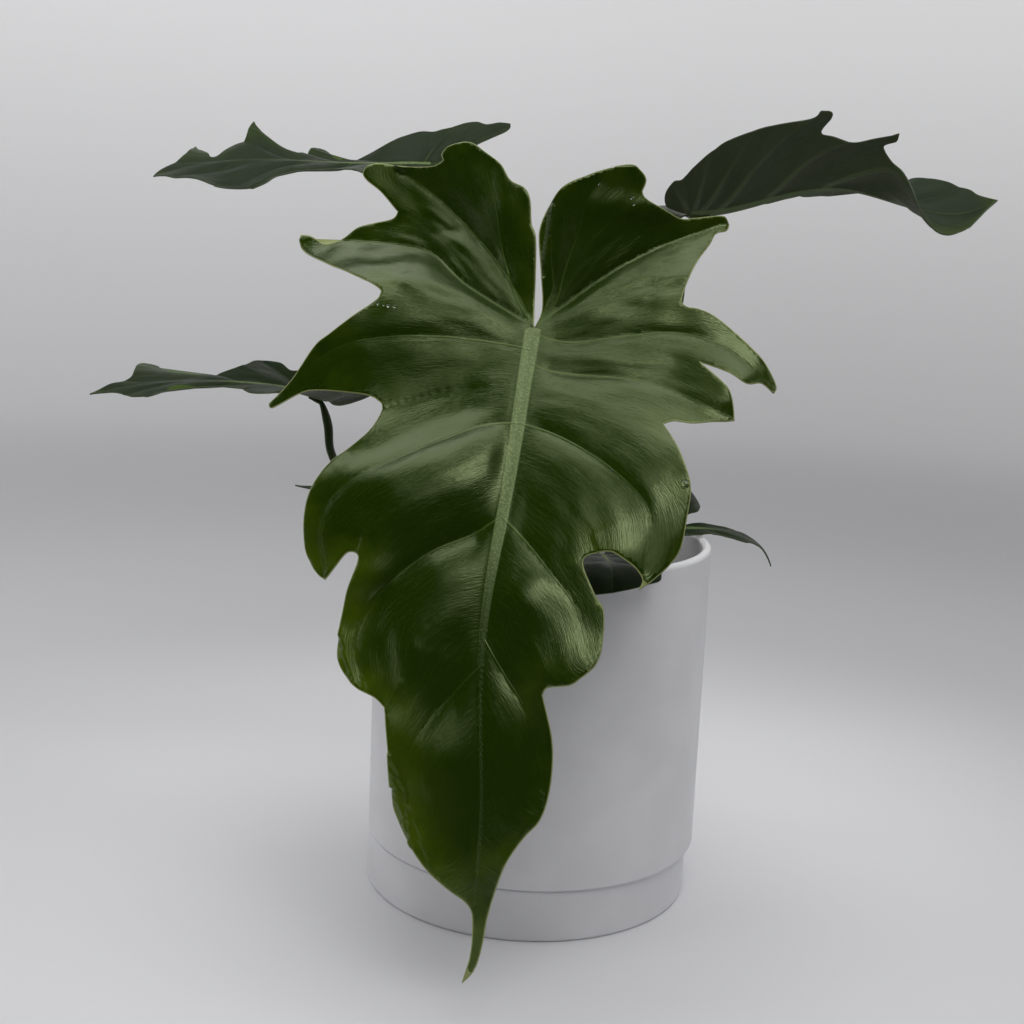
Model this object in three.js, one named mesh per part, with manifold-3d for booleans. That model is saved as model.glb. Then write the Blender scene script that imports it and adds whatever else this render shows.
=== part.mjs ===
// Potted philodendron mayoi: seven deeply lobed leaves on long petioles, in a white
// cylinder pot that stands in its own low saucer.
// Millimetres, +Z up. The origin is on the ground at the pot's axis and the front is -Y.
import * as THREE from 'three';
import { mergeVertices } from 'three/addons/utils/BufferGeometryUtils.js';
import Module from 'manifold-3d';

const wasm = await Module();
wasm.setup();

// Fit between neighbouring pieces
const GAP = 0.3;
const ROUND_STEPS = 64;
const STEM_STEPS = 20;

// Saucer: a shallow round tray, a little off the pot's axis
const SAUCER_RADIUS = 73.5;
const SAUCER_HEIGHT = 23.1;
const SAUCER_WALL = 4;
const SAUCER_FLOOR = 3.5;
const SAUCER_SHIFT_X = -1.6;
const SAUCER_EDGE_ROUND = 1.2;
const SAUCER_LIP_ROUND = 0.6;
const SAUCER_CORNER = 1.5;

// Pot: a plain cylinder whose narrower foot stands inside the saucer
const POT_RADIUS = 75;
const POT_HEIGHT = 160.5;
const POT_WALL = 4;
const POT_BASE = 5;
const FOOT_RADIUS = 67;
const LIP_ROUND = 1.6;
const SHOULDER_ROUND = 0.8;
const SHOULDER_SLOPE = 4;
const FOOT_CHAMFER = 1;
const POT_CORNER = 2;
const POT_UNDERSIDE = SAUCER_FLOOR + GAP;
const SHOULDER_HEIGHT = SAUCER_HEIGHT + GAP;
const POT_INSIDE = POT_RADIUS - POT_WALL;
const FOOT_INSIDE = FOOT_RADIUS - POT_WALL;

// Soil: fills the pot to well below the rim and mounds a little round the stem
const SOIL_EDGE_HEIGHT = 136.5;
const SOIL_TOP = 139;
const SOIL_SIDE_GAP = 0.45;
const HOLE_DEPTH = 10;
const HOLE_CLEARANCE = 0.55;
const HOLE_SIDES = 16;

// The soil's surface: radius, and share of the rise from its edge to its top
const SOIL_MOUND = [[58, 0.48], [40, 0.76], [22, 1], [0, 1]];

// Stem: the short crown that the petioles stand round
const STEM_CENTRE = [0, 4];
const STEM_RADIUS = 7;

// The stem's rings where old leaves stood: how far in from its radius, and height above the soil
const STEM_RINGS = [[0, 3], [0.7, 4.5], [0.3, 6], [0.9, 9], [1.7, 10.5], [1.5, 12], [4, 15]];
const STEM_TOP = SOIL_TOP + 17;

// Blades: a thin plate, meshed on a grid that keeps a share of its spacing clear of the margin
const BLADE_THICKNESS = 1;
const ROW_START = 0.37;
const CLEAR_OF_EDGE = 0.42;
const FLIP_PASSES = 300;

// The basal lobes reach their own slope over this length
const EAR_SETTLE = 15;

// The ripple has its stated height this far from the midrib
const RIPPLE_REACH = 60;
const RIPPLE_POWER = 1.5;

// Petioles: thickest at the foot, and slim where they run under the start of the midrib
const PETIOLE_SIDES = 8;
const PETIOLE_RINGS = 2.6;
const LEAST_RING_SPACING = 4;
const PETIOLE_SEAT = 0.4;
const KNEE_CLEARANCE = 0.6;
const FOOT_SWELL = 1.18;
const TOP_SHARE = 0.93;
const TIP_SHARE = 0.62;
const TIP_STARTS = 0.9;

const COLOURS = {
  ceramic: new THREE.Color(0.84, 0.84, 0.86),
  soil: new THREE.Color(0.07, 0.055, 0.045),
  stem: new THREE.Color(0.2, 0.24, 0.1),
  petiole: new THREE.Color(0.13, 0.24, 0.07),
  blade: new THREE.Color(0.06, 0.17, 0.035),
};

function material(colour, roughness) {
  return new THREE.MeshStandardMaterial({ color: colour, roughness: roughness, metalness: 0 });
}

const CERAMIC = material(COLOURS.ceramic, 0.5);
const SOIL = material(COLOURS.soil, 0.95);
const STEM = material(COLOURS.stem, 0.7);
const PETIOLE = material(COLOURS.petiole, 0.5);
const BLADE = material(COLOURS.blade, 0.35);

// Each leaf. joint is where the petiole meets the blade, length how far the midrib runs from
// there to the tip, and ears how far the basal lobes reach back. The lists run evenly from the
// joint to the tip: heading is the midrib's compass angle (0 is +X, 90 is +Y), pitch its slope
// above the level, sway its sideways wander. Each half of the blade leaves the midrib at its fold
// angle and bends on by droop degrees per millimetre; left and right are seen from the joint to
// the tip, from above. earLift turns the basal lobes from the midrib's slope. wave is the height,
// length and phases of the slow ripple of the lobes. mesh is the spacing of the mesh's points
// along the margin and inside it. outline is in flat millimetres, sideways then along the midrib,
// as runs of a smooth curve that meet at corners: lobe tips and notches. petiole is its radius,
// where its foot stands on the soil and the points that it passes on its way to the joint.
const LEAVES = [
  {
    name: 'front_leaf',
    joint: [-8.2, -62, 256],
    length: 261,
    ears: 90,
    heading: [-99.5, -101, -92],
    pitch: [-52, -69, -86],
    sway: [0, -0.5, 1, -4.5, -2.5],
    fold: { left: [8, 7, 5], right: [8, 7, 5] },
    droop: { left: [-0.2, -0.24, -0.3], right: [-0.2, -0.24, -0.3] },
    earLift: -8,
    wave: { height: 3, length: 76, left: 152, right: 95 },
    mesh: { edge: 6.5, grid: 10 },
    outline: [
      [[0, 0], [4, -39], [7, -48], [9, -59], [12, -64], [18, -67], [23, -74], [30, -79], [37, -83],
        [45, -81], [48, -77], [47, -74]],
      [[47, -74], [52, -71], [66, -71], [75, -72], [80, -71], [82, -68], [80, -65], [73, -60], [65, -52]],
      [[65, -52], [68, -49], [82, -47], [90, -43], [98, -41], [106, -45], [111, -46]],
      [[111, -46], [111, -43], [106, -37], [82, -21], [65, -11], [63, -7], [66, -3], [81, 9], [88, 14],
        [98, 26], [108, 35]],
      [[108, 35], [106, 37], [94, 32], [86, 31], [65, 33], [59, 35], [57, 38], [60, 47], [67, 57],
        [73, 66], [78, 82], [77, 99], [73, 106], [69, 110], [65, 112]],
      [[65, 112], [61, 106], [57, 101], [53, 101], [52, 104], [55, 117], [56, 136], [54, 144],
        [47, 151], [39, 154], [35, 157]],
      [[35, 157], [34, 172], [33, 190], [30, 198], [25, 206], [18, 214], [9, 221], [3, 225], [0, 229],
        [-1, 237], [-1, 245], [0, 251], [1, 256]],
      [[1, 256], [-3, 250], [-5, 241], [-6, 229], [-9, 215], [-12, 207], [-17, 199], [-22, 193],
        [-25, 185], [-27, 173], [-27, 162], [-24, 147]],
      [[-24, 147], [-26, 144], [-34, 142], [-38, 139], [-43, 134], [-45, 127], [-44, 114], [-40, 108],
        [-34, 98], [-34, 94], [-38, 92], [-43, 91], [-48, 93], [-53, 96], [-56, 100], [-55, 104]],
      [[-55, 104], [-60, 99], [-65, 93], [-68, 87], [-69, 77], [-69, 65], [-63, 51], [-56, 40]],
      [[-56, 40], [-60, 38], [-67, 38], [-75, 35], [-82, 33]],
      [[-82, 33], [-81, 28], [-79, 21], [-76, 17], [-67, 11]],
      [[-67, 11], [-78, 13], [-85, 16], [-91, 15], [-96, 18]],
      [[-96, 18], [-97, 15], [-92, 8], [-86, 3], [-72, -7], [-65, -10], [-60, -11], [-58, -15],
        [-62, -33], [-66, -43], [-68, -49], [-72, -51], [-73, -54]],
      [[-73, -54], [-71, -57], [-68, -57], [-59, -55], [-53, -54], [-46, -57], [-38, -61], [-36, -64]],
      [[-36, -64], [-37, -69], [-34, -73], [-30, -75], [-19, -73], [-12, -70], [-6, -67], [-2, -63],
        [1, -56], [3, -48], [3, -41], [0, -25], [-2, -10], [0, 0]],
    ],
    petiole: {
      radius: 2.7,
      foot: [-3, -9],
      route: [[-3.4, -11, 165], [-4, -18, 200], [-5.5, -32, 232], [-6.5, -45, 247.5], [-7.2, -53, 251.5]],
    },
  },
  {
    name: 'upper_left_leaf',
    joint: [-64, 85, 325.5],
    length: 133,
    ears: 46,
    heading: [192, 198, 204],
    pitch: [-2.5, -2.1, -0.2, -9.1, -20],
    sway: [0],
    fold: { left: [-8, -10, -10, -22, -8], right: [34, 28, 9, 12, 16, 27, 11, 20, 20] },
    droop: { left: [0.1, 0, 0, 0], right: [0.1, 0.1, 0] },
    earLift: 0,
    wave: { height: 0, length: 50, left: 0, right: 0 },
    mesh: { edge: 5.5, grid: 7 },
    outline: [
      [[0, 0], [3, -8], [10, -16], [22, -30], [31, -43], [36, -45]],
      [[36, -45], [37, -40], [35, -33], [37, -28], [36, -22], [32, -11], [29, -5], [28, 2], [24, 11],
        [21, 20], [21, 30], [15, 42]],
      [[15, 42], [20, 45], [28, 45], [33, 49], [30, 54], [21, 57], [15, 62]],
      [[15, 62], [22, 69], [31, 76], [42, 79]],
      [[42, 79], [34, 82], [24, 86], [20, 94], [13, 100], [13, 103], [22, 103], [40, 105]],
      [[40, 105], [30, 108], [18, 113], [9, 120], [4, 128], [0, 133]],
      [[0, 133], [-8, 130], [-14, 127], [-23, 119], [-33, 112], [-35, 102], [-38, 94], [-37, 86],
        [-30, 77], [-25, 68], [-24, 55], [-26, 45]],
      [[-26, 45], [-33, 40], [-42, 36], [-51, 29]],
      [[-51, 29], [-50, 22], [-42, 16], [-36, 8]],
      [[-36, 8], [-41, 2], [-44, -5], [-42, -12]],
      [[-42, -12], [-36, -14], [-27, -17], [-24, -24], [-18, -29], [-10, -27], [-6, -16], [0, 0]],
    ],
    petiole: {
      radius: 2.5,
      foot: [-9, 13],
      route: [[-11, 16, 165], [-18, 27, 215], [-33, 46, 270], [-49, 66, 304], [-58, 78, 316]],
    },
  },
  {
    name: 'upper_right_leaf',
    joint: [58.6, 25, 305.5],
    length: 138,
    ears: 32,
    heading: [6, 2, -4, -10, -14],
    pitch: [4.3, 17.1, 10.9, -13.5, -8, 34.4],
    sway: [0],
    fold: { left: [8, 8, 4, -10, -8, 8, 30, 38, 34], right: [58, 58, 56, 54, 52, 46, -4, -26, -20] },
    droop: { left: [-0.1, -0.1, 0.1], right: [0.25, 0.25, 0] },
    earLift: 0,
    wave: { height: 0, length: 50, left: 0, right: 0 },
    mesh: { edge: 5.5, grid: 7 },
    outline: [
      [[0, 0], [2, -7], [4, -11], [10, -12], [16, -9], [17, -5], [23, 0], [28, 6], [30, 11], [33, 20],
        [35, 36], [35, 55], [38, 59]],
      [[38, 59], [37, 62], [34, 62], [28, 59], [26, 63], [24, 70], [27, 76], [30, 81], [33, 84]],
      [[33, 84], [29, 84], [24, 80], [20, 86], [22, 93], [27, 101], [30, 110], [27, 116], [19, 121],
        [10, 128], [0, 138]],
      [[0, 138], [-9, 132], [-16, 128], [-23, 117], [-28, 104], [-31, 98], [-32, 90]],
      [[-32, 90], [-26, 84], [-14, 79], [-12, 71], [-19, 65]],
      [[-19, 65], [-18, 58], [-14, 51], [-22, 45], [-34, 40], [-38, 31]],
      [[-38, 31], [-33, 22], [-38, 14], [-46, 5]],
      [[-46, 5], [-44, -6], [-35, -12], [-33, -22], [-25, -29], [-14, -29], [-6, -19], [0, 0]],
    ],
    petiole: {
      radius: 2.5,
      foot: [11, 10],
      route: [[13, 11, 160], [26, 14, 196], [44, 19, 228], [55, 23, 262], [56, 24.5, 290]],
    },
  },
  {
    name: 'lower_left_leaf',
    joint: [-103.1, 20, 215.4],
    length: 105,
    ears: 32,
    heading: [194, 198, 202],
    pitch: [18.8, 6.5, 0.6, -7.1, -13.8],
    sway: [0],
    fold: { left: [6, 4, 0, -8, -4, -4, -10, -18, -8], right: [22, 20, 16, 16, 9, 6, 10, 20, 14] },
    droop: { left: [0], right: [0] },
    earLift: -46,
    wave: { height: 0, length: 50, left: 0, right: 0 },
    mesh: { edge: 5, grid: 6 },
    outline: [
      [[0, 0], [3, -7], [7, -16], [14, -25], [21, -26], [25, -18], [24, -11]],
      [[24, -11], [31, -8], [35, -2]],
      [[35, -2], [30, 6], [22, 11], [21, 16], [28, 20], [31, 26], [28, 31], [19, 37], [15, 46], [12, 53],
        [8, 57]],
      [[8, 57], [12, 63], [14, 68], [23, 71], [33, 72], [35, 77], [28, 81], [12, 85], [6, 90], [5, 95],
        [0, 105]],
      [[0, 105], [-3, 97], [-7, 91], [-12, 88], [-16, 83], [-17, 78], [-14, 74], [-9, 69], [-9, 60],
        [-8, 46]],
      [[-8, 46], [-14, 40], [-22, 36], [-27, 29]],
      [[-27, 29], [-24, 21], [-15, 17], [-17, 10], [-26, 5], [-30, -4]],
      [[-30, -4], [-24, -10], [-19, -13], [-21, -21], [-15, -28], [-8, -24], [-4, -14], [0, 0]],
    ],
    petiole: {
      radius: 2.1,
      foot: [-14, 3],
      route: [[-19, 4.5, 151], [-42, 8, 162], [-70, 13, 168], [-90, 17, 176], [-99.5, 19, 190],
        [-101.5, 19.6, 203]],
    },
  },
  {
    name: 'right_small_leaf',
    joint: [49, 8, 163],
    length: 69,
    ears: 16,
    heading: [22, 20, 10],
    pitch: [5.4, -0.1, -7.9, -27.6, -68.4],
    sway: [0],
    fold: { left: [50, 50, 46, 20, 12, 10, 10], right: [-6, -8, -10, -12, -12] },
    droop: { left: [0], right: [0] },
    earLift: 0,
    wave: { height: 0, length: 50, left: 0, right: 0 },
    mesh: { edge: 3.5, grid: 4 },
    outline: [
      [[0, 0], [2, -6], [6, -12], [12, -12], [16, -5]],
      [[16, -5], [14, 3], [10, 8], [8, 14], [6, 28], [9, 43], [6, 51], [3, 59], [0, 69]],
      [[0, 69], [-2, 61], [-3, 52], [-5, 43], [-5, 37], [-3, 23], [-2, 18]],
      [[-2, 18], [-6, 17], [-8, 21], [-10, 26], [-16, 30], [-20, 30], [-22, 26], [-21, 17], [-18, 6],
        [-14, -6], [-8, -12], [-3, -8], [0, 0]],
    ],
    petiole: {
      radius: 1.6,
      foot: [14, -1],
      route: [[17, 0, 147], [27, 3, 156], [38, 6, 159.8]],
    },
  },
  {
    name: 'rim_small_leaf',
    joint: [25.1, -38, 161],
    length: 50,
    ears: 12,
    heading: [-84, -86, -88],
    pitch: [3, 4, 3, -6, -48, -80],
    sway: [0],
    fold: { left: [4], right: [9] },
    droop: { left: [-0.35], right: [-0.15] },
    earLift: 0,
    wave: { height: 0, length: 50, left: 0, right: 0 },
    mesh: { edge: 4, grid: 4.5 },
    outline: [
      [[0, 0], [2, -3], [6, -5], [11, -4], [17, 1], [22, 9], [23, 18], [21, 28], [16, 37], [11, 43],
        [7, 46]],
      [[7, 46], [1, 45], [-8, 43], [-14, 41], [-19, 39], [-20, 35], [-21, 28], [-24, 20], [-24, 12],
        [-21, 5], [-15, -1], [-9, -4], [-4, -5], [0, 0]],
    ],
    petiole: {
      radius: 1.6,
      foot: [6, -10],
      route: [[8, -13, 147], [14, -21, 155], [20, -30, 158.2]],
    },
  },
  {
    name: 'left_small_leaf',
    joint: [-48.2, 0, 174.1],
    length: 64,
    ears: 16,
    heading: [184, 186, 190],
    pitch: [12.9, 7.7, 1.6, -1.3, 10.4],
    sway: [0],
    fold: { left: [-6, -8, -10, -12, -12], right: [14, 12, 10] },
    droop: { left: [0], right: [0] },
    earLift: -10,
    wave: { height: 0, length: 50, left: 0, right: 0 },
    mesh: { edge: 4, grid: 5 },
    outline: [
      [[0, 0], [3, -6], [7, -13], [13, -13], [17, -6], [15, 3], [12, 9]],
      [[12, 9], [16, 15], [15, 22], [9, 27], [7, 34]],
      [[7, 34], [9, 41], [6, 49], [2, 56], [0, 64]],
      [[0, 64], [-3, 54], [-7, 48], [-10, 40], [-8, 33]],
      [[-8, 33], [-10, 26], [-17, 21], [-18, 13], [-13, 8], [-16, 2], [-18, -6], [-13, -13], [-7, -13],
        [-3, -6], [0, 0]],
    ],
    petiole: {
      radius: 1.6,
      foot: [-11, -6],
      route: [[-13, -5.5, 148], [-22, -4, 160], [-36, -1.5, 168]],
    },
  },
];

const radians = THREE.MathUtils.degToRad;
const clamp = THREE.MathUtils.clamp;

// Smooth value at t (0 to 1) of a list of evenly spaced values, by Catmull-Rom
function blend(values, t) {
  if (values.length === 1) {
    return values[0];
  }
  const last = values.length - 1;
  const x = clamp(t, 0, 1) * last;
  const i = Math.min(Math.floor(x), last - 1);
  const f = x - i;
  const at = (k) => values[clamp(k, 0, last)];
  const a = at(i - 1);
  const b = at(i);
  const c = at(i + 1);
  const d = at(i + 2);
  return b + 0.5 * f * (c - a + f * (2 * a - 5 * b + 4 * c - d + f * (3 * (b - c) + d - a)));
}

// The midrib of a leaf as points every millimetre, each with its side and upward directions
function midribFrames(leaf) {
  const before = Math.ceil(leaf.ears) + 1;
  const after = Math.ceil(leaf.length) + 2;
  const frames = [];
  for (let v = -before; v <= after; v += 1) {
    const t = clamp(v / leaf.length, 0, 1);
    const heading = radians(blend(leaf.heading, t));
    const settle = 1 - Math.exp(Math.min(v, 0) / EAR_SETTLE);
    const pitch = radians(blend(leaf.pitch, t) + leaf.earLift * settle);
    const along = new THREE.Vector3(
      Math.cos(pitch) * Math.cos(heading),
      Math.cos(pitch) * Math.sin(heading),
      Math.sin(pitch),
    );
    const side = new THREE.Vector3(Math.sin(heading), -Math.cos(heading), 0);
    const up = new THREE.Vector3().crossVectors(side, along);
    frames.push({ along, side, up, point: new THREE.Vector3() });
  }
  for (let i = 1; i < frames.length; i += 1) {
    const step = frames[i - 1].along.clone().add(frames[i].along).multiplyScalar(0.5);
    frames[i].point.addVectors(frames[i - 1].point, step);
  }
  const shift = new THREE.Vector3(...leaf.joint).sub(frames[before].point);
  frames.forEach((frame, i) => {
    const t = clamp((i - before) / leaf.length, 0, 1);
    frame.point.add(shift).addScaledVector(frame.side, blend(leaf.sway, t));
  });
  return { frames, before };
}

// Middle surface of a blade: flat millimetres (sideways u, along v) to a point in space
function bladeSurface(leaf) {
  const { frames, before } = midribFrames(leaf);
  return (u, v) => {
    const place = clamp(v + before, 0, frames.length - 1.001);
    const k = Math.floor(place);
    const f = place - k;
    const mix = (key) => frames[k][key].clone().lerp(frames[k + 1][key], f);
    const t = clamp(v / leaf.length, 0, 1);
    const half = u < 0 ? 'left' : 'right';
    const reach = Math.abs(u);
    const fold = radians(blend(leaf.fold[half], t));
    const bend = radians(blend(leaf.droop[half], t)) || 1e-6;
    const across = (Math.sin(fold + bend * reach) - Math.sin(fold)) / bend;
    const ripple = Math.sin((2 * Math.PI * v) / leaf.wave.length + radians(leaf.wave[half]));
    const lift = (Math.cos(fold) - Math.cos(fold + bend * reach)) / bend
      + leaf.wave.height * (reach / RIPPLE_REACH) ** RIPPLE_POWER * ripple;
    return mix('point')
      .addScaledVector(mix('side'), Math.sign(u) * across)
      .addScaledVector(mix('up'), lift);
  };
}

// Upward unit normal of a blade's middle surface
function bladeNormal(surface, u, v) {
  const sideways = surface(u + 1, v).sub(surface(u - 1, v));
  const along = surface(u, v + 1).sub(surface(u, v - 1));
  return sideways.cross(along).normalize();
}

// Closed outline in flat millimetres: each run is a smooth curve, sampled about every edge mm
function outlinePoints(leaf) {
  const points = [];
  for (const run of leaf.outline) {
    const curve = new THREE.SplineCurve(run.map(([u, v]) => new THREE.Vector2(u, v)));
    const count = Math.max(1, Math.ceil(curve.getLength() / leaf.mesh.edge));
    points.push(...curve.getSpacedPoints(count).slice(0, -1));
  }
  return points;
}

function insideOutline(outline, u, v) {
  let inside = false;
  outline.forEach((a, i) => {
    const b = outline[(i + 1) % outline.length];
    if (a.y > v !== b.y > v && u < a.x + ((b.x - a.x) * (v - a.y)) / (b.y - a.y)) {
      inside = !inside;
    }
  });
  return inside;
}

function distanceToOutline(outline, u, v) {
  const place = new THREE.Vector2(u, v);
  let least = Infinity;
  outline.forEach((a, i) => {
    const b = outline[(i + 1) % outline.length];
    const span = b.clone().sub(a);
    const s = clamp(place.clone().sub(a).dot(span) / span.lengthSq(), 0, 1);
    least = Math.min(least, place.distanceTo(a.clone().addScaledVector(span, s)));
  });
  return least;
}

// Staggered grid of points inside the outline, with one column along the midrib. The rows start
// off the joint's level, so that no line of the grid runs through the corner at the joint.
function gridPoints(outline, grid) {
  const box = new THREE.Box2().setFromPoints(outline);
  const points = [];
  const rowHeight = grid * Math.sin(radians(60));
  for (let row = Math.floor(box.min.y / rowHeight); row * rowHeight < box.max.y; row += 1) {
    const v = (row + ROW_START) * rowHeight;
    const first = row % 2 === 0 ? grid : grid * 0.75;
    const columns = [0];
    for (let u = first; u < Math.max(box.max.x, -box.min.x); u += grid) {
      columns.push(u, -u);
    }
    for (const u of columns) {
      if (insideOutline(outline, u, v) && distanceToOutline(outline, u, v) > grid * CLEAR_OF_EDGE) {
        points.push(new THREE.Vector2(u, v));
      }
    }
  }
  return points;
}

// Twice the signed area of a flat triangle
function turn(a, b, c) {
  return (b.x - a.x) * (c.y - a.y) - (b.y - a.y) * (c.x - a.x);
}

// Splits the triangle that holds each inner point into three
function insertPoints(points, triangles, firstInner) {
  for (let p = firstInner; p < points.length; p += 1) {
    const holds = ([a, b, c]) => turn(points[a], points[b], points[p]) >= 0
      && turn(points[b], points[c], points[p]) >= 0
      && turn(points[c], points[a], points[p]) >= 0;
    const home = triangles.findIndex(holds);
    const [a, b, c] = triangles[home];
    triangles[home] = [a, b, p];
    triangles.push([b, c, p], [c, a, p]);
  }
}

// Flips inner edges until the flat triangles are as even as they can be (Delaunay)
function evenTriangles(points, triangles) {
  const stride = points.length;
  const angleAt = (c, a, b) => {
    const toA = points[a].clone().sub(points[c]);
    const toB = points[b].clone().sub(points[c]);
    return Math.abs(Math.atan2(toA.cross(toB), toA.dot(toB)));
  };
  let flips = 1;
  for (let pass = 0; pass < FLIP_PASSES && flips > 0; pass += 1) {
    const owners = new Map();
    triangles.forEach((triangle, index) => {
      for (let corner = 0; corner < 3; corner += 1) {
        const [a, b] = [triangle[corner], triangle[(corner + 1) % 3]].sort((m, n) => m - n);
        const edge = a * stride + b;
        owners.set(edge, [...(owners.get(edge) ?? []), index]);
      }
    });
    const touched = new Set();
    flips = 0;
    for (const [edge, pair] of owners) {
      if (pair.length === 2 && !touched.has(pair[0]) && !touched.has(pair[1])) {
        const ends = [Math.floor(edge / stride), edge % stride];
        const isFirst = triangles[pair[0]].indexOf(ends[0]);
        const forward = triangles[pair[0]][(isFirst + 1) % 3] === ends[1];
        const [a, b] = forward ? ends : [ends[1], ends[0]];
        const c = triangles[pair[0]].find((corner) => corner !== a && corner !== b);
        const d = triangles[pair[1]].find((corner) => corner !== a && corner !== b);
        const convex = turn(points[c], points[a], points[d]) > 1e-9
          && turn(points[d], points[b], points[c]) > 1e-9;
        if (convex && angleAt(c, a, b) + angleAt(d, a, b) > Math.PI + 1e-7) {
          triangles[pair[0]] = [c, a, d];
          triangles[pair[1]] = [d, b, c];
          touched.add(pair[0]);
          touched.add(pair[1]);
          flips += 1;
        }
      }
    }
  }
}

// Solid blade: the same triangles on the upper and lower face, joined round the margin
function bladeGeometry(leaf) {
  const surface = bladeSurface(leaf);
  const outline = outlinePoints(leaf);
  if (THREE.ShapeUtils.isClockWise(outline)) {
    outline.reverse();
  }
  const inner = gridPoints(outline, leaf.mesh.grid);
  const flat = [...outline, ...inner];
  const faces = THREE.ShapeUtils.triangulateShape([...outline], []);
  insertPoints(flat, faces, outline.length);
  evenTriangles(flat, faces);
  const positions = [];
  for (const half of [BLADE_THICKNESS / 2, -BLADE_THICKNESS / 2]) {
    for (const { x, y } of flat) {
      positions.push(...surface(x, y).addScaledVector(bladeNormal(surface, x, y), half).toArray());
    }
  }
  const index = [];
  const under = flat.length;
  for (const [a, b, c] of faces) {
    index.push(a, b, c, under + a, under + c, under + b);
  }
  outline.forEach((point, a) => {
    const b = (a + 1) % outline.length;
    index.push(a, under + a, under + b, a, under + b, b);
  });
  return closedGeometry(positions, index);
}

function closedGeometry(positions, index) {
  const geometry = new THREE.BufferGeometry();
  geometry.setAttribute('position', new THREE.Float32BufferAttribute(positions, 3));
  geometry.setIndex(index);
  geometry.computeVertexNormals();
  return geometry;
}

// Round tapering stalk along a smooth curve, with flat ends
function stalkGeometry(points, radiusAt, sides, spacing) {
  const curve = new THREE.CatmullRomCurve3(points, false, 'centripetal');
  const steps = Math.ceil(curve.getLength() / spacing);
  const frames = curve.computeFrenetFrames(steps, false);
  const positions = [];
  for (let i = 0; i <= steps; i += 1) {
    const t = i / steps;
    const centre = curve.getPointAt(t);
    for (let j = 0; j < sides; j += 1) {
      const angle = (2 * Math.PI * j) / sides;
      const out = frames.normals[i].clone().multiplyScalar(Math.cos(angle) * radiusAt(t));
      out.addScaledVector(frames.binormals[i], Math.sin(angle) * radiusAt(t));
      positions.push(...centre.clone().add(out).toArray());
    }
  }
  positions.push(...curve.getPointAt(0).toArray(), ...curve.getPointAt(1).toArray());
  const first = (steps + 1) * sides;
  const index = [];
  for (let j = 0; j < sides; j += 1) {
    const next = (j + 1) % sides;
    for (let i = 0; i < steps; i += 1) {
      const a = i * sides + j;
      const b = i * sides + next;
      index.push(a, b, b + sides, a, b + sides, a + sides);
    }
    index.push(first, next, j, first + 1, steps * sides + j, steps * sides + next);
  }
  return closedGeometry(positions, index);
}

// Petiole: stands in its hole in the soil and ends just under the start of the midrib
function petioleGeometry(leaf) {
  const { radius, foot, route } = leaf.petiole;
  const surface = bladeSurface(leaf);
  const tipRadius = radius * TIP_SHARE;
  const under = (v, size) => surface(0, v).addScaledVector(
    bladeNormal(surface, 0, v),
    -(BLADE_THICKNESS / 2 + PETIOLE_SEAT + size),
  );
  const points = [
    new THREE.Vector3(foot[0], foot[1], SOIL_TOP - HOLE_DEPTH),
    new THREE.Vector3(foot[0], foot[1], SOIL_TOP - HOLE_DEPTH / 2),
    new THREE.Vector3(foot[0], foot[1], SOIL_TOP + 1),
    ...route.map((place) => new THREE.Vector3(...place)),
    under(0.5, radius + KNEE_CLEARANCE),
    under(radius * 4, tipRadius),
  ];
  const radiusAt = (t) => {
    const stalk = radius * THREE.MathUtils.lerp(FOOT_SWELL, TOP_SHARE, t);
    const share = Math.max(0, (t - TIP_STARTS) / (1 - TIP_STARTS));
    return stalk - share * radius * (TOP_SHARE - TIP_SHARE);
  };
  const spacing = Math.max(LEAST_RING_SPACING, radius * PETIOLE_RINGS);
  return stalkGeometry(points, radiusAt, PETIOLE_SIDES, spacing);
}

// Body of revolution about +Z from a profile of radius and height that starts and ends on the axis
function turned(profile, steps = ROUND_STEPS) {
  const points = profile.map(([radius, height]) => new THREE.Vector2(radius, height));
  return new THREE.LatheGeometry(points, steps).rotateX(Math.PI / 2);
}

// Quarter round from one profile point to another, centred on the given point
function quarterRound(centre, radius, from, steps = 3) {
  return Array.from({ length: steps + 1 }, (_, i) => {
    const angle = radians(from + (90 * i) / steps);
    return [centre[0] + radius * Math.cos(angle), centre[1] + radius * Math.sin(angle)];
  });
}

function saucerGeometry() {
  const inside = SAUCER_RADIUS - SAUCER_WALL;
  const lip = SAUCER_LIP_ROUND;
  return turned([
    [0, 0],
    ...quarterRound([SAUCER_RADIUS - SAUCER_EDGE_ROUND, SAUCER_EDGE_ROUND], SAUCER_EDGE_ROUND, -90),
    ...quarterRound([SAUCER_RADIUS - lip, SAUCER_HEIGHT - lip], lip, 0, 2),
    ...quarterRound([inside + lip, SAUCER_HEIGHT - lip], lip, 90, 2),
    [inside, SAUCER_FLOOR + SAUCER_CORNER],
    [inside - SAUCER_CORNER, SAUCER_FLOOR],
    [0, SAUCER_FLOOR],
  ]);
}

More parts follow.
